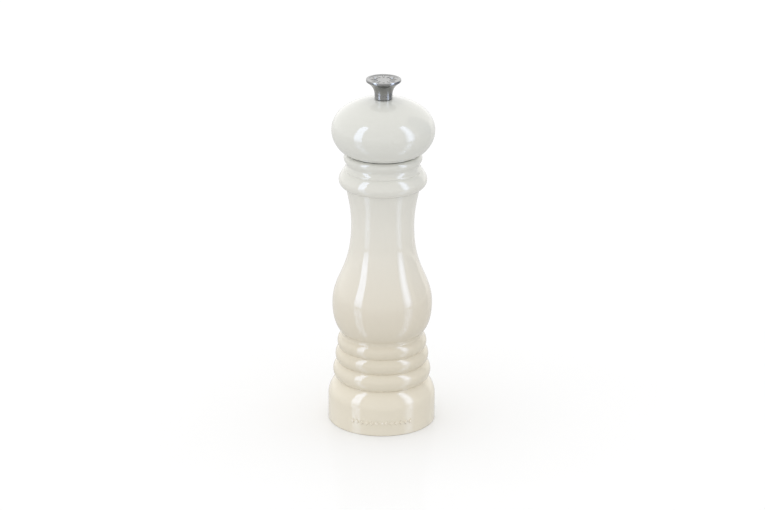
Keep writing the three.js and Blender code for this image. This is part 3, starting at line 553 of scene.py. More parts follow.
# ---- Finishes ----
class Nodes:
    """A node tree under construction."""

    def __init__(self, tree):
        self.tree = tree

    def feed(self, socket, value):
        """Sets a socket, or links it where the value is a socket too."""
        if isinstance(value, bpy.types.NodeSocket):
            self.tree.links.new(value, socket)
        else:
            socket.default_value = value

    def node(self, kind, inputs=(), **options):
        """A node with its options set, and its inputs given as values or as sockets to link."""
        node = self.tree.nodes.new(kind)
        for option, value in options.items():
            setattr(node, option, value)
        for key, value in dict(inputs).items():
            self.feed(node.inputs[key], value)
        return node

    def between(self, value, low, high, to_low, to_high):
        """The value carried from one range to another, and held inside it."""
        ends = {"From Min": low, "From Max": high, "To Min": to_low, "To Max": to_high}
        return self.node("ShaderNodeMapRange", {"Value": value, **ends}).outputs["Result"]

    def times(self, a, b):
        """The product of two values."""
        return self.node("ShaderNodeMath", {0: a, 1: b}, operation="MULTIPLY").outputs["Value"]

    def axes(self, vector):
        """The X, Y and Z of a vector."""
        return self.node("ShaderNodeSeparateXYZ", {"Vector": vector}).outputs


class Finish(Nodes):
    """A material under construction, with its shader and the object's own coordinates."""

    def __init__(self, name, **shader_values):
        self.material = bpy.data.materials.new(name)
        self.material.use_nodes = True
        super().__init__(self.material.node_tree)
        self.shader = next(n for n in self.tree.nodes if n.type == "BSDF_PRINCIPLED")
        for socket, value in shader_values.items():
            self.shader.inputs[socket].default_value = value
        self.place = self.node("ShaderNodeTexCoord").outputs["Object"]

    def noise(self, scale, place=None, detail=3.0):
        """Cloudy noise, about 0.5 on average, with features one over the scale in size."""
        node = self.node(
            "ShaderNodeTexNoise", {"Vector": place or self.place, "Scale": scale, "Detail": detail}
        )
        return node.outputs["Fac"]

    def drift(self, noise, to_low, to_high):
        """The middle of a noise, where most of it lies, carried to a range."""
        return self.between(noise, 0.3, 0.7, to_low, to_high)

    def paint(self, value, stops):
        """Colours the surface by value, from (position, colour) stops."""
        node = self.node("ShaderNodeValToRGB", {"Fac": value})
        elements = node.color_ramp.elements
        while len(elements) < len(stops):
            elements.new(1.0)
        for element, (position, shade) in zip(elements, stops):
            element.position = position
            element.color = (*shade, 1.0)
        self.feed(self.shader.inputs["Base Color"], node.outputs["Color"])

    def roughen(self, noise, low, high):
        """Lets the roughness follow a noise between two values."""
        self.feed(self.shader.inputs["Roughness"], self.drift(noise, low, high))

    def bump(self, height, depth):
        """Tilts the shading as if the surface rose by the height times the depth."""
        node = self.node("ShaderNodeBump", {"Height": height, "Distance": depth, "Strength": 1})
        self.feed(self.shader.inputs["Normal"], node.outputs["Normal"])


def tint(shade, factor):
    """A colour times a factor, held at white."""
    return tuple(min(channel * factor, 1.0) for channel in shade)


def colour_named(name):
    """A colour from the settings."""
    return getattr(settings().colours, name)


def glossy_casing():
    """Glossy casing colour that runs from cream at the table to white at the head, with painted
    light: the base stop is lightened for the dimmer light near the table and the ring stop is
    darkened as painted shade.
    """
    body = settings().body
    finish = Finish("glossy_casing", Roughness=0.015, IOR=1.5)
    height = finish.axes(finish.place)["Z"]
    drift = finish.drift(finish.noise(22), -1.5 * MM, 1.5 * MM)
    level = finish.node("ShaderNodeMath", {0: height, 1: drift}, operation="ADD").outputs["Value"]
    top = top_of("head_shell")
    bulb = (body.base_straight + body.bulb_foot_rise + body.bulb_rise) / top
    neck = bulb + body.neck_rise / top
    # The base stop is lightened as painted light and the ring stop darkened as painted shade, over
    # the real cream-to-white colour.
    places = {"base": 0.0, "ring": 0.22, "bulb": bulb, "neck": neck, "head": 0.85}
    stops = [(place, colour_named(name)) for name, place in places.items()]
    finish.paint(finish.between(level, 0, top, 0, 1), stops)
    finish.bump(finish.noise(90, detail=1), 0.001 * MM)
    return finish.material


def moulded_plastic(name, shade_name, roughness, grain):
    """Plastic with the fine even grain of a spark-eroded mould, a little lighter on its peaks."""
    shade = colour_named(shade_name)
    finish = Finish(name, IOR=1.5)
    specks = finish.noise(grain, detail=4)
    finish.paint(specks, [(0.35, tint(shade, 0.88)), (0.65, tint(shade, 1.12))])
    finish.roughen(specks, roughness - 0.06, roughness + 0.06)
    finish.bump(specks, 0.03 * MM)
    return finish.material


def turned_steel():
    """Satin steel with the fine rings that a lathe tool leaves round the axis."""
    shade = colour_named("steel")
    finish = Finish("turned_steel", Metallic=1.0)
    axes = finish.axes(finish.place)
    flat = finish.node("ShaderNodeCombineXYZ", {"X": axes["X"], "Y": axes["Y"]}).outputs["Vector"]
    radius = finish.node("ShaderNodeVectorMath", {0: flat}, operation="LENGTH").outputs["Value"]
    section = finish.node("ShaderNodeCombineXYZ", {"X": radius, "Z": axes["Z"]}).outputs["Vector"]
    rings = finish.noise(5200, section, detail=2)
    finish.paint(rings, [(0.3, tint(shade, 0.96)), (0.7, tint(shade, 1.04))])
    finish.roughen(rings, 0.16, 0.24)
    finish.bump(rings, 0.0004 * MM)
    return finish.material


def plated_steel(name, shade_name, roughness):
    """Plated steel: bright, with cloudy patches and short drawing marks along the axis."""
    shade = colour_named(shade_name)
    finish = Finish(name, Metallic=1.0)
    stretch = {"Vector": finish.place, "Scale": (1, 1, 0.06)}
    marks = finish.noise(3000, finish.node("ShaderNodeMapping", stretch).outputs["Vector"])
    finish.paint(finish.noise(240), [(0.3, tint(shade, 0.85)), (0.7, tint(shade, 1.1))])
    finish.roughen(marks, roughness - 0.07, roughness + 0.07)
    finish.bump(marks, 0.008 * MM)
    return finish.material


def grinding_ceramic():
    """Unglazed ceramic: off-white and matt, with a sugary grain and faint warm specks."""
    shade = colour_named("ceramic")
    finish = Finish("grinding_ceramic", IOR=1.6)
    grain = finish.noise(5000, detail=5)
    warm = (shade[0], shade[1] * 0.95, shade[2] * 0.86)
    stops = [(0.36, warm), (0.5, tint(shade, 1.0)), (0.7, tint(shade, 1.08))]
    finish.paint(finish.noise(900), stops)
    finish.roughen(grain, 0.42, 0.6)
    finish.bump(grain, 0.02 * MM)
    return finish.material


# What fills each slot: a maker and its name, colour, roughness and grain where it takes them.
FINISHES = {
    "cream_gloss": (glossy_casing,),
    "white_gloss": (glossy_casing,),
    "pale_plastic": (moulded_plastic, "hopper_plastic", "pale", 0.4, 2600),
    "black_plastic": (moulded_plastic, "black_plastic", "black", 0.46, 3200),
    "grey_plastic": (moulded_plastic, "grey_plastic", "grey", 0.42, 3200),
    "satin_steel": (turned_steel,),
    "plated_steel": (plated_steel, "plated_steel", "steel", 0.24),
    "spring_steel": (plated_steel, "spring_steel", "dark_steel", 0.32),
    "burr_ceramic": (grinding_ceramic,),
}


@functools.cache
def made(maker, *details):
    """What a maker makes, kept so that it is made once."""
    return maker(*details)


def finish_in(slot):
    """The material of a slot; both casings share one."""
    return made(*FINISHES[slot])


# ---- Body casing ----
# The free curves of the body's outline: how each leaves its start and meets its end, in
# millimetres outwards and upwards, and its number of steps.
FREE_CURVES = {
    "ring to crease": ((-0.5925, 0.5), (0.6, 0.4), 8),
    "crease to bulb": ((3.2, 3.3), (0, 7.6), 24),
    "bulb to neck": ((0, 16.9), (0, 28.5), 56),
    "neck to collar": ((0, 10), (1.2, 6.7), 24),
    "collar to bead": ((-0.6, 1.2), (-1.2, 0.7), 8),
    "bead to groove": ((-0.6, 0.8), (0.1, 0.9), 8),
}
# The angles, in degrees, at which the outline joins and leaves the last ring, the collar, the bead
# and the lip.
RING_END = 50
COLLAR_ARC = (-82, 28)
BEAD_ARC = (-25, 50)
LIP_START = -35
HOUSING_HOLE = 0.5  # hole for the tip of a housing screw, as a share of the screw's head


def free_curve(name, start, end):
    """The named curve of the body's outline as a sweep between two points."""
    leave, arrive, steps = FREE_CURVES[name]
    return sweep(start, start + np.array(leave) * MM, end - np.array(arrive) * MM, end, steps)


def body_line(s):
    """The casing's outer line from the table to the mouth: base, rings, bulb, neck, collar, lip."""
    base = radius_of("body_shell")
    insets, rises, rounds = (np.array(v) for v in (s.ring_insets, s.ring_rises, s.ring_rounds))
    radii = np.append(s.shoulder_round, rounds)
    centres = np.column_stack([
        np.append(base - s.shoulder_round, base - insets - rounds),
        s.base_straight + np.append(0, rises),
    ])
    meets = [
        crossing(centres[i], radii[i], centres[i + 1], radii[i + 1])
        for i in range(len(radii) - 1)
    ]
    firsts = [0] + [angle_to(c, p) for c, p in zip(centres[1:], meets)]
    lasts = [angle_to(c, p) for c, p in zip(centres, meets)] + [RING_END]
    crease = np.array([s.bulb_foot_radius, s.base_straight + s.bulb_foot_rise])
    bulb = np.array([s.bulb_radius, crease[1] + s.bulb_rise])
    neck = np.array([s.neck_radius, bulb[1] + s.neck_rise])
    collar = np.array([s.collar_radius - s.collar_round, neck[1] + s.collar_rise])
    bead = np.array([s.bead_radius - s.bead_round, collar[1] + s.bead_rise])
    groove = np.array([s.groove_radius, collar[1] + s.groove_rise])
    lip = np.array([s.lip_radius - s.lip_round, collar[1] + s.lip_rise])
    lip_end = np.degrees(np.arcsin((top_of("body_shell") - lip[1]) / s.lip_round))
    edge = arc((base - s.base_edge, s.base_edge), s.base_edge, -90, 0, 6)
    rings = [arc(c, r, a, b, 22) for c, r, a, b in zip(centres, radii, firsts, lasts)]
    collar_arc = arc(collar, s.collar_round, *COLLAR_ARC, 24)
    bead_arc = arc(bead, s.bead_round, *BEAD_ARC, 8)
    return np.concatenate([
        edge,
        *rings,
        free_curve("ring to crease", rings[-1][-1], crease),
        free_curve("crease to bulb", crease, bulb),
        free_curve("bulb to neck", bulb, neck),
        free_curve("neck to collar", neck, collar_arc[0]),
        collar_arc,
        free_curve("collar to bead", collar_arc[-1], bead_arc[0]),
        bead_arc,
        free_curve("bead to groove", bead_arc[-1], groove),
        arc(lip, s.lip_round, LIP_START, lip_end, 16),
    ])


def body_cavity(s, m):
    """The casing's inner line, from the mouth down to the table.

    It follows the outer line at about the wall's thickness, in straight lines that stay clear of
    the hollows between the rings.
    """
    base = radius_of("body_shell") - s.wall
    tube_seat = top_of("hopper_tube") - m.tube_flange - m.gap
    flange_bore = radius_of("hopper_tube") + m.gap
    mouth = s.neck_radius - s.wall
    ledge = top_flange() + m.gap
    crease = s.base_straight + s.bulb_foot_rise
    bulb = crease + s.bulb_rise
    neck = bulb + s.neck_rise
    collar = neck + s.collar_rise
    line = [
        (flange_bore, top_of("body_shell")),
        (flange_bore, tube_seat),
        (mouth, tube_seat),
        (mouth, tube_seat - s.wall),
        (s.groove_radius - s.wall, tube_seat - s.wall - 2 * MM),
        (s.collar_radius - s.wall, collar),
        (mouth + 1.2 * MM, collar - s.collar_round - s.wall),
        (mouth, neck),
        (mouth + 1.2 * MM, neck - 16 * MM),
        (s.bulb_radius - s.wall - 4.6 * MM, bulb + 19 * MM),
        (s.bulb_radius - s.wall - MM, bulb + 8 * MM),
        (s.bulb_radius - s.wall, bulb),
        (s.bulb_foot_radius - s.wall, crease),
        (base - s.ring_insets[2] - 1.5 * MM, s.base_straight + s.ring_rises[2]),
        (base - s.ring_insets[0] - 2.4 * MM, s.base_straight + s.ring_rises[0] - 4 * MM),
        (base - s.ledge, ledge + 6 * MM),
        (base - s.ledge, ledge),
        (base, ledge),
        (base, 0),
    ]
    return np.array(line)


def top_flange():
    """Height of the upper face of the grinder housing's flange."""
    return floor_of("grinder_housing") + settings().mechanism.flange_thickness


def lozenges(s):
    """A row of pillow-shaped lozenges on the base wall.

    Over u and v from -1 to 1 a lozenge is ((u+v)/2 along, (u-v)/2 up). It stands out by the relief
    times smooth_step(5 (1 - max(|u|, |v|))), and its back lies inside the wall.
    """
    base = radius_of("body_shell")
    pitch = s.spread / s.lozenges
    u, v = np.meshgrid(np.linspace(-1, 1, 15), np.linspace(-1, 1, 15))
    stand = s.relief * smooth_step(5 * (1 - np.maximum(np.abs(u), np.abs(v))))
    along = (u + v) / 2 * pitch * s.share / 2
    up = s.level + (u - v) / 2 * s.height / 2
    places = (np.arange(s.lozenges) - (s.lozenges - 1) / 2) * pitch - np.pi / 2
    turn = places[:, None, None] + along
    surfaces = []
    for radius in (base + stand, np.full_like(u, base - s.root)):
        shape = turn.shape
        surfaces.append(np.stack([
            np.broadcast_to(radius, shape) * np.cos(turn),
            np.broadcast_to(radius, shape) * np.sin(turn),
            np.broadcast_to(up, shape),
        ], -1))
    front, back = surfaces
    return pillow(front, back)


def pillow(front, back):
    """Closed bodies from matching grids of front and back points: (body, row, column, 3)."""
    bodies, rows, columns, _ = front.shape
    index = np.arange(rows * columns).reshape(rows, columns)
    face = np.stack([index[:-1, :-1], index[:-1, 1:], index[1:, 1:], index[1:, :-1]], -1)
    face = face.reshape(-1, 4)
    rim = np.concatenate([index[0, :-1], index[:-1, -1], index[-1, :0:-1], index[:0:-1, 0]])
    behind = index.size
    ahead = np.roll(rim, -1)
    side = np.stack([rim, rim + behind, ahead + behind, ahead], -1)
    one = np.concatenate([face, face[:, ::-1] + behind, side])
    points = np.concatenate([front.reshape(bodies, -1, 3), back.reshape(bodies, -1, 3)], 1)
    offsets = np.arange(bodies)[:, None, None] * points.shape[1]
    return points.reshape(-1, 3), (one + offsets).reshape(-1, 4)


class MILL_OT_body_casing(Operator):
    """Makes the body casing with its screw bosses and the row of lozenges on its base"""

    bl_idname = "mill.body_casing"
    bl_label = "Body casing"

    def execute(self, context):
        mill = context.scene.pepper_mill
        s, m = mill.body, mill.mechanism
        line = np.concatenate([body_line(s), eased(body_cavity(s, m), 0.8 * MM)])
        surfaces = [turned(line, CASING_SIDES), lozenges(mill.trim)]
        for node in nodes_named("housing_screw_"):
            bore = half_width(node) * HOUSING_HOLE + m.gap
            ledge = top_flange() + m.gap
            tip = top_of(node) + m.gap
            boss = post(bore + s.boss_wall, bore, ledge, tip + s.boss_cap, tip)
            surfaces.append(shifted(boss, centre_of(node)))
        make_piece("body_shell", joined(*surfaces), "body", "cream_gloss", "body_casing")
        return {"FINISHED"}


# ---- Head casing ----
def widest_level(s):
    """Height of the head's widest line, with the dome's flat seat at the top of the node.

    The dome is |r / widest|^n + |z / dome|^n = 1 over that line.
    """
    wide = radius_of("head_shell")
    seat = s.dome * (1 - (s.seat_radius / wide) ** s.squareness) ** (1 / s.squareness)
    return top_of("head_shell") - seat


def oval(wide, tall, exponent, degrees):
    """Superellipse: (wide cos^(2/n) a, tall sin^(2/n) a)."""
    turn = np.radians(degrees)
    return np.column_stack([
        wide * np.cos(turn) ** (2 / exponent), tall * np.sin(turn) ** (2 / exponent)
    ])


def head_line(s):
    """The head's outer line from the foot over the widest point to the flat seat on top."""
    wide, bottom, top = radius_of("head_shell"), floor_of("head_shell"), top_of("head_shell")
    level = widest_level(s)
    turn = np.linspace(-s.cut, 0, 20)
    below = np.column_stack([wide * np.cos(turn), level + s.drop * np.sin(turn)])
    dome = oval(wide, s.dome, s.squareness, 90 * np.linspace(0, 1, 60)[1:-1])
    dome = dome[dome[:, 0] > s.seat_radius] + (0, level)
    foot_top = bottom + s.foot_height
    foot = sweep(
        (s.foot_radius, foot_top), (s.foot_radius, foot_top + 1.5 * MM),
        (below[0, 0] - 1.3 * MM, foot_top), below[0], 14,
    )
    start = eased([
        (s.foot_radius - MM, bottom), (s.foot_radius, bottom), (s.foot_radius, foot_top)
    ], 0.3 * MM, closed=False)
    return np.concatenate([start, foot, below, dome, [(s.seat_radius, top)]])


class MILL_OT_head_casing(Operator):
    """Makes the domed head casing with the sleeve that holds its bush"""

    bl_idname = "mill.head_casing"
    bl_label = "Head casing"

    def execute(self, context):
        mill = context.scene.pepper_mill
        s, m = mill.head, mill.mechanism
        top, bottom = top_of("head_shell"), floor_of("head_shell")
        level = widest_level(s)
        inside = radius_of("head_shell") - s.wall
        hole = radius_of("head_bush") + m.gap
        bush_seat = floor_of("head_bush") - m.gap
        rod = m.thread_radius + 2 * m.slide_gap
        floor = top_of("head_insert") + m.gap
        rising = np.linspace(76, 0, 24)[:-1]
        dome = oval(inside, s.dome - s.wall, s.squareness, rising) + (0, level)
        column = [
            (hole, top),
            (hole, bush_seat),
            (rod, bush_seat),
            (rod, bush_seat - 2 * MM),
            (hole + s.column_wall, bush_seat - 2 * MM),
            (hole + s.column_wall, top - s.wall),
        ]
        rim = [
            (inside, level),
            (inside - 2 * MM, level - 6 * MM),
            (s.foot_radius - s.wall - 2 * MM, floor + 0.6 * MM),
            (s.foot_radius - s.wall - 2 * MM, floor),
            (s.foot_radius - s.wall, floor),
            (s.foot_radius - s.wall, bottom),
        ]
        line = np.concatenate([
            head_line(s), eased(column, 0.3 * MM, closed=False), dome,
            eased(rim, 0.4 * MM, closed=False),
        ])
        make_piece("head_shell", turned(line, CASING_SIDES), "head", "white_gloss", "head_casing")
        return {"FINISHED"}


# ---- Adjusting nut ----
PETAL_RELIEF = 0.85  # height of a petal, as a share of the dish's depth
PETAL_STEEPNESS = 1.6
PETAL_MIDDLE = 0.55  # radius of the petals' middles, as a share of the nut's


def rosette(s, radius, turn):
    """Height of the petals in the dish.

    It is the relief times smooth_step(steepness (1 - a^2 - b^2)), with a and b from -1 to 1 along
    and across each petal.
    """
    ring = s.petal_length * 0.5
    middle = radius_of("adjusting_nut") * PETAL_MIDDLE
    off = from_nearest(turn, s.petals) * radius
    spread = ((radius - middle) / ring) ** 2 + (off / (s.petal_width / 2)) ** 2
    return s.dish_depth * PETAL_RELIEF * smooth_step(PETAL_STEEPNESS * (1 - spread))


class MILL_OT_adjusting_nut(Operator):
    """Makes the flared steel nut with the rosette in its top face"""

    bl_idname = "mill.adjusting_nut"
    bl_label = "Adjusting nut"

    def execute(self, context):
        mill = context.scene.pepper_mill
        s, m = mill.nut, mill.mechanism
        sides = 192
        wide, bottom, top = (
            radius_of("adjusting_nut"), floor_of("adjusting_nut"), top_of("adjusting_nut")
        )
        stem_top, rim_bottom = bottom + s.stem_height, top - s.rim_height
        bore = m.thread_radius + m.slide_gap
        bore_top = top_of("spindle") + s.bore_room
        dish = wide - s.edge - s.land
        foot = eased([
            (bore, bottom + 0.4 * MM), (bore + 0.4 * MM, bottom), (s.stem_radius, bottom),
            (s.stem_radius, stem_top),
        ], 0.25 * MM, closed=False)
        flare = sweep(
            (s.stem_radius, stem_top), (s.stem_radius + 0.2 * MM, stem_top + 3.4 * MM),
            (wide - 3 * MM, rim_bottom - 1.7 * MM), (wide - 0.3 * MM, rim_bottom), 28,
        )
        rim = eased([
            (wide - 0.3 * MM, rim_bottom), (wide, rim_bottom + 0.3 * MM), (wide, top), (dish, top),
            (dish - 0.3 * MM, top - s.dish_depth), (dish - MM, top - s.dish_depth),
        ], s.edge, closed=False)
        face_radii = np.linspace(dish - MM, 0, 40)[:, None]
        face = top - s.dish_depth + rosette(s, face_radii, angles(sides))
        inside = eased(
            [(0, bore_top), (bore, bore_top), (bore, bottom + 0.4 * MM)], 0, closed=False
        )
        rows = [*foot, *flare, *rim, *zip(face_radii, face), *inside]
        make_piece("adjusting_nut", turned(rows, sides), "nut", "satin_steel")
        return {"FINISHED"}


# ---- Hopper tube and bearing bridge ----
class MILL_OT_hopper_tube(Operator):
    """Makes the tube that holds the peppercorns"""

    bl_idname = "mill.hopper_tube"
    bl_label = "Hopper tube"

    def execute(self, context):
        m = context.scene.pepper_mill.mechanism
        bottom, top = floor_of("hopper_tube"), top_of("hopper_tube")
        bore = chamber_radius(m)
        outside = bore + m.tube_wall
        line = eased([
            (bore, bottom), (outside, bottom), (outside, top - m.tube_flange),
            (radius_of("hopper_tube"), top - m.tube_flange), (radius_of("hopper_tube"), top),
            (bore + 0.8 * MM, top), (bore, top - 0.8 * MM),
        ], 0.3 * MM)
        make_piece("hopper_tube", turned(line, FINE_SIDES), "body", "pale_plastic")
        return {"FINISHED"}


def spoke(inner, outer, width, bottom, top):
    """A bar out from the axis whose width grows at both ends: width (1 + 1.2 (2 t - 1)^4)."""
    t = np.linspace(0, 1, 9)
    half = width / 2 * (1 + 1.2 * (2 * t - 1) ** 4)
    section = eased([(-1, 0), (1, 0), (1, 1), (-1, 1)], 0.12)
    reach = np.broadcast_to((inner + (outer - inner) * t)[:, None], (len(t), len(section)))
    across = half[:, None] * section[:, 0]
    height = np.broadcast_to(bottom + (top - bottom) * section[:, 1], across.shape)
    return lofted(np.stack([reach, across, height], -1))


class MILL_OT_bearing_bridge(Operator):
    """Makes the spoked bridge between the hopper and the grinding chamber"""

    bl_idname = "mill.bearing_bridge"
    bl_label = "Bearing bridge"

    def execute(self, context):
        m = context.scene.pepper_mill.mechanism
        bottom, top = floor_of("bearing_bridge"), top_of("bearing_bridge")
        rim = radius_of("bearing_bridge")
        bore = journal_radius(m) + m.slide_gap
        ease = 0.1 * MM
        arm = spoke(bore + 0.8 * MM, rim - 0.5 * MM, m.spoke_width, bottom + ease, top - ease)
        surface = joined(
            turned(ring_line(rim - m.tube_wall, rim, bottom, top)),
            turned(ring_line(bore, bore + 1.6 * MM, bottom, top)),
            spun(arm, m.bridge_spokes, np.pi / 4),
        )
        make_piece("bearing_bridge", surface, "body", "black_plastic")
        return {"FINISHED"}


# ---- Grinder housing, retainer and burrs ----
RETAINER_SHANK = 0.52  # shank of a retainer screw, as a share of its head
DRIVE_SHANK = 0.53  # shank of a drive plate screw, as a share of its head
EAR_WALL = 1.7 * MM  # material round a retainer screw
SIDES_PER_TOOTH = 8  # sides of a burr's surface for each fine tooth
BURR_LEAN, ROTOR_LEAN = 1.5, -1.2  # teeth that a coarse tooth passes on its way up


class MILL_OT_grinder_housing(Operator):
    """Makes the housing: flange, burr seat, feed chamber and the socket of the tube"""

    bl_idname = "mill.grinder_housing"
    bl_label = "Grinder housing"

    def execute(self, context):
        m = context.scene.pepper_mill.mechanism
        bottom, top = floor_of("grinder_housing"), top_of("grinder_housing")
        chamber = chamber_radius(m)
        socket = radius_of("bearing_bridge") + m.gap
        seat = radius_of("burr_ring") + m.gap
        outside = seat + m.housing_wall
        chamber_bottom = top_of("burr_ring") + m.gap
        bridge_seat = floor_of("bearing_bridge") - m.gap
        rim = radius_of("grinder_housing")
        line = eased([
            (seat, bottom),
            (rim - 3.2 * MM, bottom), (rim - 3.0 * MM, bottom - 0.35 * MM),
            (rim - 1.8 * MM, bottom - 0.35 * MM), (rim - 1.6 * MM, bottom),
            (rim, bottom),
            (rim, top_flange()),
            (outside, top_flange()),
            (outside, chamber_bottom + m.housing_wall),
            (socket + m.housing_wall, chamber_bottom + m.housing_wall + 3 * MM),
            (socket + m.housing_wall, top),
            (socket, top),
            (socket, bridge_seat),
            (chamber, bridge_seat),
            (chamber, chamber_bottom),
            (seat, chamber_bottom),
        ], 0.35 * MM)
        surfaces = [turned(line, FINE_SIDES)]
        for node in nodes_named("retainer_screw_"):
            bore = half_width(node) * RETAINER_SHANK + m.gap
            tip = top_of(node)
            boss = post(bore + EAR_WALL, bore, bottom, tip + 2 * MM, tip + m.gap)
            surfaces.append(shifted(boss, centre_of(node)))
        make_piece("grinder_housing", joined(*surfaces), "body", "black_plastic")
        return {"FINISHED"}


def ear_radius(distance, radius, turn, copies, first):
    """Radius of round ears: c cos b + sqrt(r^2 - c^2 sin^2 b) where the line meets one, else 0."""
    off = from_nearest(turn - first, copies)
    inside = radius**2 - (distance * np.sin(off)) ** 2
    return np.where(inside > 0, distance * np.cos(off) + np.sqrt(np.maximum(inside, 0)), 0)


class MILL_OT_burr_retainer(Operator):
    """Makes the ring with three ears that holds up the burr ring"""

    bl_idname = "mill.burr_retainer"
    bl_label = "Burr retainer"

    def execute(self, context):
        m = context.scene.pepper_mill.mechanism
        bottom, top = floor_of("burr_retainer"), top_of("burr_retainer")
        sides = 240
        screws = nodes_named("retainer_screw_")
        place = centre_of(screws[0])
        distance = np.linalg.norm(place)
        first = np.arctan2(place[1], place[0])
        seat = radius_of("burr_ring") + m.gap
        ear = half_width(screws[0]) * RETAINER_SHANK + m.gap + EAR_WALL
        rim = seat + m.housing_wall
        outer = np.maximum(rim, ear_radius(distance, ear, angles(sides), len(screws), first))
        inner = radius_of("burr_ring") - 3.1 * MM
        rows = bevelled(inner, outer, bottom, top, 0.25 * MM)
        make_piece("burr_retainer", turned(rows, sides), "body", "grey_plastic")
        return {"FINISHED"}


def teeth(m, turn, height, bottom, coarse, fine, lean):
    """Depth of the burr's teeth by angle and height.

    Coarse teeth lean round the axis with their height and give way, under the throat, to fine
    ones: depth sawtooth(n a / 2 pi + lean z) (1 - w) + fine depth sawtooth(...) w.
    """
    share = turn / FULL_TURN
    rise = (height - bottom) / (top_of("burr_ring") - bottom)
    weight = 1 - smooth_step((height - bottom) / m.throat_rise - 0.1)
    big = m.tooth_depth * sawtooth(coarse * share + lean * rise)
    small = m.fine_tooth_depth * sawtooth(fine * share + 2 * lean * rise)
    return big * (1 - weight) + small * weight


class MILL_OT_burrs(Operator):
    """Makes the ceramic burr ring and the rotor that turns inside it"""

    bl_idname = "mill.burrs"
    bl_label = "Burrs"

    def execute(self, context):
        m = context.scene.pepper_mill.mechanism
        chamber = chamber_radius(m)
        bottom, top = floor_of("burr_ring"), top_of("burr_ring")
        outer = radius_of("burr_ring")
        throat = bottom + m.throat_rise
        outlet, narrow, inlet = chamber - 0.9 * MM, chamber - 2.7 * MM, chamber - 1.6 * MM
        sides = m.burr_fine_teeth * SIDES_PER_TOOTH
        heights = np.linspace(top, bottom, 48)[:, None]
        line = np.interp(heights, [bottom, throat, top], [outlet, narrow, inlet])
        cut = teeth(m, angles(sides), heights, bottom, m.burr_teeth, m.burr_fine_teeth, BURR_LEAN)
        edge = 0.3 * MM
        outside = [
            (outer - edge, bottom), (outer, bottom + edge), (outer, top - edge), (outer - edge, top)
        ]
        ring = turned([*outside, *zip(line + cut, heights[:, 0])], sides)
        make_piece("burr_ring", ring, "body", "burr_ceramic")

        low, high = floor_of("rotor"), top_of("rotor")
        sides = m.rotor_fine_teeth * SIDES_PER_TOOTH
        bore = hub_radius(m) + m.gap
        gap = 0.75 * MM
        heights = np.linspace(low, high, 48)[:, None]
        line = np.interp(
            heights, [low, throat, high], [outlet - gap, narrow - gap, bore + 1.5 * MM]
        )
        cut = teeth(m, angles(sides), heights, low, m.rotor_teeth, m.rotor_fine_teeth, ROTOR_LEAN)
        rotor = turned([*zip(line - cut, heights[:, 0]), (bore, high), (bore, low)], sides)
        make_piece("rotor", rotor, "grinder", "burr_ceramic")
        return {"FINISHED"}


# ---- Screws ----
def screw(node, shank_share, head_height):
    """A pan-head screw pointing up, with a cross recess under its head and a thread."""
    sides = 48
    turn = angles(sides)
    head = half_width(node)
    shank = head * shank_share
    bottom, top = floor_of(node), top_of(node)
    under = bottom + head_height
    arm, half = head * 0.58, head * 0.14
    deep = bottom + head_height * 0.62
    recess = [
        (0, deep),
        (cross_radius(arm * 0.55, half * 0.6, turn), deep),
        (cross_radius(arm, half, turn), bottom + 0.06 * MM),
        (cross_radius(arm + 0.08 * MM, half + 0.08 * MM, turn), bottom),
    ]
    shoulder = np.array([head * 0.72, under - 0.15 * MM])
    dome = arc((0, 0), 1, -90, 0, 8) * (head * 0.28, head_height - 0.15 * MM) + shoulder
    pitch = shank * 0.85
    heights = np.linspace(under, top - shank, int((top - shank - under) / pitch * 6))
    thread = threaded(shank, 0.3 * shank, pitch, heights, turn)
    rows = [
        *recess, *dome, (head, under), (shank + 0.15 * MM, under), *zip(thread, heights), (0, top)
    ]
    return shifted(turned(rows, sides, closed=False), centre_of(node))


# Each group of screws: the start of its nodes' names, its body, its shank as a share of its head
# and the height of its head.
SCREWS = (
    ("housing_screw_", "body", 0.54, 1.5 * MM),
    ("retainer_screw_", "body", RETAINER_SHANK, 1.3 * MM),
    ("drive_plate_screw_", "head", DRIVE_SHANK, 1.0 * MM),
)


class MILL_OT_screws(Operator):
    """Makes the screws of the housing, the retainer and the drive plate"""

    bl_idname = "mill.screws"
    bl_label = "Screws"

    def execute(self, context):
        for stem, body, shank_share, head_height in SCREWS:
            for node in nodes_named(stem):
                make_piece(node, screw(node, shank_share, head_height), body, "plated_steel")
        return {"FINISHED"}


# ---- Rotor carrier, clip and spindle ----
def hub_radius(m):
    """Radius of the carrier's hub, which the spring stands on."""
    corner = m.spindle_side / np.sqrt(2)
    return corner + 2 * m.gap + 2 * m.spring_wire


def chamber_radius(m):
    """Inner radius of the hopper tube and of the chamber under it."""
    return radius_of("bearing_bridge") - m.tube_wall


def square_hole(m, sides):
    """Radii of the square hole that slides over the spindle."""
    return square_radius(m.spindle_side + m.gap, 0.3 * MM, angles(sides))


def journal_radius(m):
    """Radius of the feeder's journal."""
    return (m.spindle_side + m.gap) / np.sqrt(2) + 1.2 * MM


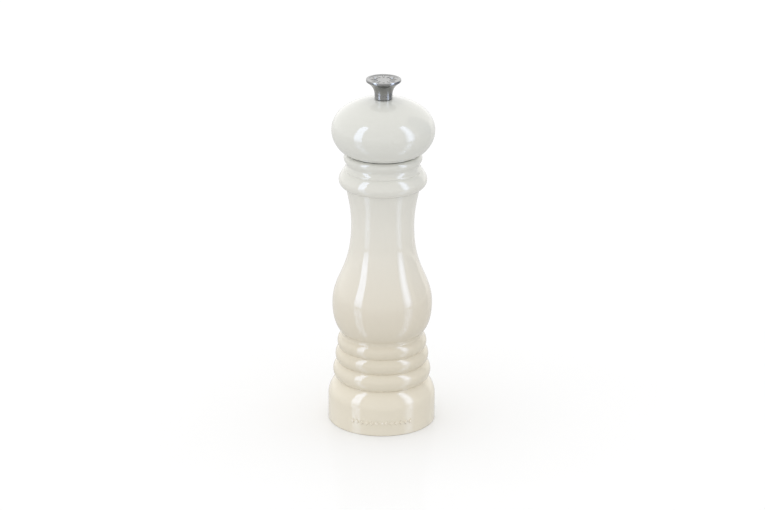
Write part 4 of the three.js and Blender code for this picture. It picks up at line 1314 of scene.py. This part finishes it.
class MILL_OT_rotor_carrier(Operator):
    """Makes the flanged hub that carries the rotor, and the clip that holds it on the spindle"""

    bl_idname = "mill.rotor_carrier"
    bl_label = "Rotor carrier"

    def execute(self, context):
        m = context.scene.pepper_mill.mechanism
        sides = ROUND_SIDES
        bottom, top = floor_of("rotor_carrier"), top_of("rotor_carrier")
        flange, hub = radius_of("rotor_carrier"), hub_radius(m)
        shoulder = floor_of("rotor") - m.gap
        edge = 0.25 * MM
        hole = square_hole(m, sides)
        rows = [
            (hole + edge, bottom), (flange - edge, bottom), (flange, bottom + edge),
            (flange, shoulder - edge), (flange - edge, shoulder), (hub, shoulder),
            (hub, top - edge), (hub - edge, top), (hole + edge, top), (hole, top - edge),
            (hole, bottom + edge),
        ]
        make_piece("rotor_carrier", turned(rows, sides), "grinder", "black_plastic")

        low, high = floor_of("carrier_clip"), top_of("carrier_clip")
        inner, outer = m.clip_groove + m.gap, m.clip_groove + m.gap + 2.2 * MM
        section = ring_line(inner, outer, low, high, 0.12 * MM)
        turn = np.linspace(m.clip_opening / 2, FULL_TURN - m.clip_opening / 2, 64)[:, None]
        radius, height = section[:, 0], np.broadcast_to(section[:, 1], (len(turn), len(section)))
        bands = np.stack([radius * np.cos(turn), radius * np.sin(turn), height], -1)
        make_piece("carrier_clip", lofted(bands[:, ::-1]), "grinder", "spring_steel")
        return {"FINISHED"}


class MILL_OT_spindle(Operator):
    """Makes the square spindle with its grooved lower end and threaded upper end"""

    bl_idname = "mill.spindle"
    bl_label = "Spindle"

    def execute(self, context):
        m = context.scene.pepper_mill.mechanism
        sides = ROUND_SIDES
        turn = angles(sides)
        bottom, top = floor_of("spindle"), top_of("spindle")
        end, groove = m.thread_radius, m.clip_groove
        groove_bottom = floor_of("carrier_clip") - m.gap
        square_bottom = floor_of("rotor_carrier")
        square_top = floor_of("head_bush") - 2.85 * MM
        square = square_radius(m.spindle_side, 0.35 * MM, turn)
        heights = np.arange(square_top, top - 0.6 * MM, m.thread_pitch / 8)
        thread = threaded(end, m.thread_depth, m.thread_pitch, heights, turn)
        rows = [
            (0, bottom), (end - 0.5 * MM, bottom), (end, bottom + 0.5 * MM), (end, groove_bottom),
            (groove, groove_bottom), (groove, square_bottom),
            (np.minimum(square, end), square_bottom), (square, square_bottom + 0.5 * MM),
            (square, square_top - 0.5 * MM), (np.minimum(square, end), square_top),
            *zip(thread, heights), (end - m.thread_depth, top - 0.5 * MM), (end - 0.8 * MM, top),
            (0, top),
        ]
        make_piece("spindle", turned(rows, sides, closed=False), "grinder", "plated_steel")
        return {"FINISHED"}


# ---- Feeder, spring and washer ----
def blade(m, inner, outer, bottom, top):
    """A slanted blade: a rounded bar section carried up the axis and turned with its height."""
    section = eased([(0, -1), (1, -1), (1, 1), (0, 1)], 0.16)
    x = inner + (outer - inner) * section[:, 0]
    y = m.blade_thickness / 2 * section[:, 1]
    rise = np.linspace(0, 1, 17)[:, None]
    turn = m.blade_twist * (rise - 0.5)
    height = np.broadcast_to(bottom + (top - bottom) * rise, (len(rise), len(section)))
    bands = np.stack([
        x * np.cos(turn) - y * np.sin(turn), x * np.sin(turn) + y * np.cos(turn), height
    ], -1)
    return lofted(bands)


class MILL_OT_feeder(Operator):
    """Makes the bladed hub that pushes the peppercorns down"""

    bl_idname = "mill.feeder"
    bl_label = "Feeder"

    def execute(self, context):
        m = context.scene.pepper_mill.mechanism
        sides = ROUND_SIDES
        bottom, top = floor_of("feeder"), top_of("feeder")
        shoulder = floor_of("bearing_bridge") - 0.3 * MM
        ceiling = top_of("spring_washer") + m.gap
        bore = hub_radius(m) + 2 * m.gap
        hub, journal = bore + 1.3 * MM, journal_radius(m)
        hole = square_hole(m, sides)
        edge = 0.25 * MM
        rows = [
            (bore + edge, bottom), (hub - edge, bottom), (hub, bottom + edge),
            (hub, shoulder - edge), (hub - edge, shoulder), (journal, shoulder),
            (journal, top - edge), (journal - edge, top), (hole, top), (hole, ceiling),
            (bore, ceiling), (bore, bottom + edge),
        ]
        reach = chamber_radius(m) - m.sweep_gap
        arm = blade(m, hub - 0.5 * MM, reach, bottom, shoulder - MM)
        surface = joined(turned(rows, sides), spun(arm, m.feeder_blades, np.pi / 4))
        make_piece("feeder", surface, "drive", "grey_plastic")
        return {"FINISHED"}


class MILL_OT_spring(Operator):
    """Makes the spring over the rotor carrier, and the washer that it pushes against"""

    bl_idname = "mill.spring"
    bl_label = "Spring"

    def execute(self, context):
        m = context.scene.pepper_mill.mechanism
        bottom, top = floor_of("spring"), top_of("spring")
        wire = m.spring_wire / 2
        coil = radius_of("spring_washer") - wire
        t = np.linspace(0, 1, int(m.spring_turns * 40))
        turn_share = 1 / m.spring_turns
        closing = np.interp(
            t, [0, turn_share, 1 - turn_share, 1], [0, m.spring_end, 1 - m.spring_end, 1]
        )
        height = (bottom + wire + (top - bottom - 2 * wire) * closing)[:, None]
        turn = (FULL_TURN * m.spring_turns * t)[:, None]
        round_wire = angles(12)
        radius = coil + wire * np.cos(round_wire)
        level = height + wire * np.sin(round_wire)
        bands = np.stack([radius * np.cos(turn), radius * np.sin(turn), level], -1)
        between = ("grinder", "drive", (0, 0, bottom), (0, 0, top))
        make_piece("spring", lofted(bands[:, ::-1]), between, "spring_steel")
        inner = m.spindle_side / np.sqrt(2) + m.gap
        washer = ring_line(
            inner, radius_of("spring_washer"), floor_of("spring_washer"), top_of("spring_washer"),
            0.15 * MM,
        )
        make_piece("spring_washer", turned(washer), "drive", "plated_steel")
        return {"FINISHED"}


# ---- Head insert, drive plate and bush ----
class MILL_OT_head_insert(Operator):
    """Makes the insert that closes the head, its drive plate and the bush round the spindle"""

    bl_idname = "mill.head_insert"
    bl_label = "Head insert"

    def execute(self, context):
        m = context.scene.pepper_mill.mechanism
        bottom, top = floor_of("head_insert"), top_of("head_insert")
        rim = radius_of("head_insert")
        spigot = chamber_radius(m) - m.slide_gap
        bore = m.spindle_side / np.sqrt(2) + m.slide_gap
        seat = floor_of("head_shell") + m.gap
        floor, wall = bottom + 2.2 * MM, 1.8 * MM
        line = eased([
            (bore, bottom), (spigot - 0.6 * MM, bottom), (spigot, bottom + 0.6 * MM),
            (spigot, seat), (rim, seat), (rim, top), (spigot - wall, top), (spigot - wall, floor),
            (bore, floor),
        ], 0.4 * MM)
        surfaces = [turned(line, FINE_SIDES)]
        for node in nodes_named("drive_plate_screw_"):
            hole = half_width(node) * DRIVE_SHANK + m.gap
            boss = post(hole + 1.2 * MM, hole, floor - 0.5 * MM, floor + 4 * MM, floor + 3 * MM)
            surfaces.append(shifted(boss, centre_of(node)))
        make_piece("head_insert", joined(*surfaces), "head", "pale_plastic")

        sides = ROUND_SIDES
        low, high = floor_of("drive_plate"), top_of("drive_plate")
        plate = radius_of("drive_plate")
        hole = square_hole(m, sides)
        rows = bevelled(hole, plate, low, high, 0.2 * MM)
        make_piece("drive_plate", turned(rows, sides), "head", "plated_steel")

        bush = ring_line(
            m.thread_radius + m.slide_gap, radius_of("head_bush"), floor_of("head_bush"),
            top_of("head_bush"), 0.25 * MM,
        )
        make_piece("head_bush", turned(bush), "head", "grey_plastic")
        return {"FINISHED"}


# ---- Stage ----
def sheet(name, corners, material):
    """A flat four-cornered sheet."""
    mesh = bpy.data.meshes.new(name)
    mesh.from_pydata(corners, [], [(0, 1, 2, 3)])
    mesh.materials.append(material)
    uv = mesh.uv_layers.new(name="UVMap")
    uv.data.foreach_set("uv", [0, 0, 1, 0, 1, 1, 0, 1])
    made = bpy.data.objects.new(name, mesh)
    bpy.context.scene.collection.objects.link(made)
    return made


# The upright lights: their materials, the angles of their edges in degrees from the camera's side
# of the mill, the setting that holds their radiance, and the part of their width over which they
# fade in at each edge.
STRIPS = {
    "strip_left": ("crisp_light", (-66, -46.5), "strip_light", 0.02),
    "strip_right": ("soft_light", (47, 76), "strip_light", 0.4),
    "shade_right": ("shade", (84, 128), "shade_light", 0.01),
}
FOOT_SHARE, FOOT_LEVEL = 0.15, 0.6  # how far up a strip is dimmed, and how much is left at its foot
FLOOR_CLOUD = (0.98, 1.0)  # range of the floor's faint clouds
FLOOR_IOR = (1.1, 2.0)  # index of refraction of the floor, and as mirrored in the mill's gloss
FLOOR_REACH = 12  # from the mill to the floor's edges


def glow(name, strength, softness, shade):
    """A light that fades towards its side edges, by the softness, and a little towards its foot."""
    finish = Finish(name)
    axes = finish.axes(finish.node("ShaderNodeTexCoord").outputs["UV"])
    fade_in = finish.between(axes["X"], 0, softness, 0, 1)
    fade_out = finish.between(axes["X"], 1, 1 - softness, 0, 1)
    rise = finish.between(axes["Y"], 0, FOOT_SHARE, FOOT_LEVEL, 1)
    power = finish.times(finish.times(fade_in, fade_out), finish.times(rise, strength))
    light = finish.node("ShaderNodeEmission", {"Strength": power, "Color": (*shade, 1)})
    output = next(n for n in finish.tree.nodes if n.type == "OUTPUT_MATERIAL")
    finish.feed(output.inputs["Surface"], light.outputs["Emission"])
    return finish.material


def strip(name, edges, s, material):
    """An upright light between two angles, seen in the mill's gloss alone."""
    turns = np.radians(edges) - np.pi / 2
    (ax, bx), (ay, by) = s.strip_distance * np.cos(turns), s.strip_distance * np.sin(turns)
    low, high = s.strip_foot, s.strip_top
    made_sheet = sheet(
        name, [(ax, ay, low), (bx, by, low), (bx, by, high), (ax, ay, high)], material
    )
    made_sheet.visible_camera = False
    made_sheet.visible_diffuse = False
    made_sheet.visible_shadow = False


def floor_finish(s):
    """Pale floor. In the mill's gloss it is greyer and mirrors the lights."""
    floor = Finish("floor", Roughness=0.03)
    path = floor.node("ShaderNodeLightPath").outputs
    glossy = path["Is Glossy Ray"]
    cloud = floor.drift(floor.noise(3), *FLOOR_CLOUD)
    shade = floor.between(glossy, 0, 1, s.floor_white, s.floor_shade)
    boost = floor.between(path["Is Camera Ray"], 0, 1, 1, s.floor_boost)
    floor.feed(floor.shader.inputs["Base Color"], floor.times(cloud, floor.times(shade, boost)))
    floor.feed(floor.shader.inputs["Metallic"], floor.times(glossy, s.floor_mirror))
    floor.feed(floor.shader.inputs["IOR"], floor.between(glossy, 0, 1, *FLOOR_IOR))
    return floor.material


def surroundings(s):
    """The world: white to the camera, and to the mill the product of a level along each axis."""
    world = bpy.data.worlds.new("surroundings")
    world.use_nodes = True
    nodes = Nodes(world.node_tree)
    axes = nodes.axes(nodes.node("ShaderNodeTexCoord").outputs["Generated"])
    across = nodes.between(axes["X"], -1, 1, s.left_light, 2 - s.left_light)
    along = nodes.between(axes["Y"], -1, 1, s.front_light, s.back_light)
    upwards = nodes.between(axes["Z"], 0, 1, 1, s.zenith_light)
    level = nodes.times(nodes.times(across, along), upwards)
    seen = nodes.node("ShaderNodeLightPath").outputs["Is Camera Ray"]
    choice = nodes.node("ShaderNodeMix", {"Factor": seen, "A": level, "B": 1})
    background = nodes.tree.nodes["Background"]
    background.inputs["Color"].default_value = (1, 1, 1, 1)
    nodes.feed(background.inputs["Strength"], choice.outputs["Result"])
    return world


class MILL_OT_stage(Operator):
    """Makes the camera, the floor, the surroundings, two upright lights and a shade"""

    bl_idname = "mill.stage"
    bl_label = "Stage"

    def execute(self, context):
        scene = context.scene
        s = scene.pepper_mill.stage
        lens = bpy.data.cameras.new("camera")
        lens.lens = s.lens
        lens.sensor_width = 36
        camera = bpy.data.objects.new("camera", lens)
        scene.collection.objects.link(camera)
        down = Euler((np.pi / 2 - s.camera_pitch, 0, 0)).to_matrix()
        camera.rotation_euler = (down @ Matrix.Rotation(s.camera_roll, 3, "Z")).to_euler()
        camera.location = (0, -s.camera_distance, s.camera_height)
        scene.camera = camera

        scene.world = surroundings(s)
        scene.view_settings.view_transform = "Standard"

        reach = FLOOR_REACH
        corners = [(-reach, -reach, 0), (reach, -reach, 0), (reach, reach, 0), (-reach, reach, 0)]
        sheet("floor", corners, floor_finish(s))
        for name, (material, edges, light, softness) in STRIPS.items():
            strip(name, edges, s, glow(material, getattr(s, light), softness, s.strip_colour))
        return {"FINISHED"}


# ---- Panel and registration ----
OPERATORS = (
    MILL_OT_body_casing,
    MILL_OT_head_casing,
    MILL_OT_adjusting_nut,
    MILL_OT_hopper_tube,
    MILL_OT_bearing_bridge,
    MILL_OT_grinder_housing,
    MILL_OT_burr_retainer,
    MILL_OT_burrs,
    MILL_OT_screws,
    MILL_OT_rotor_carrier,
    MILL_OT_spindle,
    MILL_OT_feeder,
    MILL_OT_spring,
    MILL_OT_head_insert,
    MILL_OT_stage,
)


class MILL_PT_pieces(Panel):
    """Lists the operators that make the pepper mill"""

    bl_label = "Pepper Mill"
    bl_idname = "MILL_PT_pieces"
    bl_space_type = "VIEW_3D"
    bl_region_type = "UI"
    bl_category = "Pepper Mill"

    def draw(self, context):
        for operator in OPERATORS:
            self.layout.operator(operator.bl_idname)


CLASSES = (
    BodySettings,
    TrimSettings,
    HeadSettings,
    NutSettings,
    MechanismSettings,
    ColourSettings,
    StageSettings,
    MillSettings,
    *OPERATORS,
    MILL_PT_pieces,
)


def register():
    """Registers the classes and puts the settings on the scene."""
    for cls in CLASSES:
        bpy.utils.register_class(cls)
    bpy.types.Scene.pepper_mill = PointerProperty(type=MillSettings)


def unregister():
    """Takes the settings and the classes away again."""
    del bpy.types.Scene.pepper_mill
    for cls in reversed(CLASSES):
        bpy.utils.unregister_class(cls)


def main():
    """Makes every piece and the stage."""
    register()
    for operator in OPERATORS:
        group, name = operator.bl_idname.split(".")
        getattr(getattr(bpy.ops, group), name)()


if __name__ == "__main__":
    main()
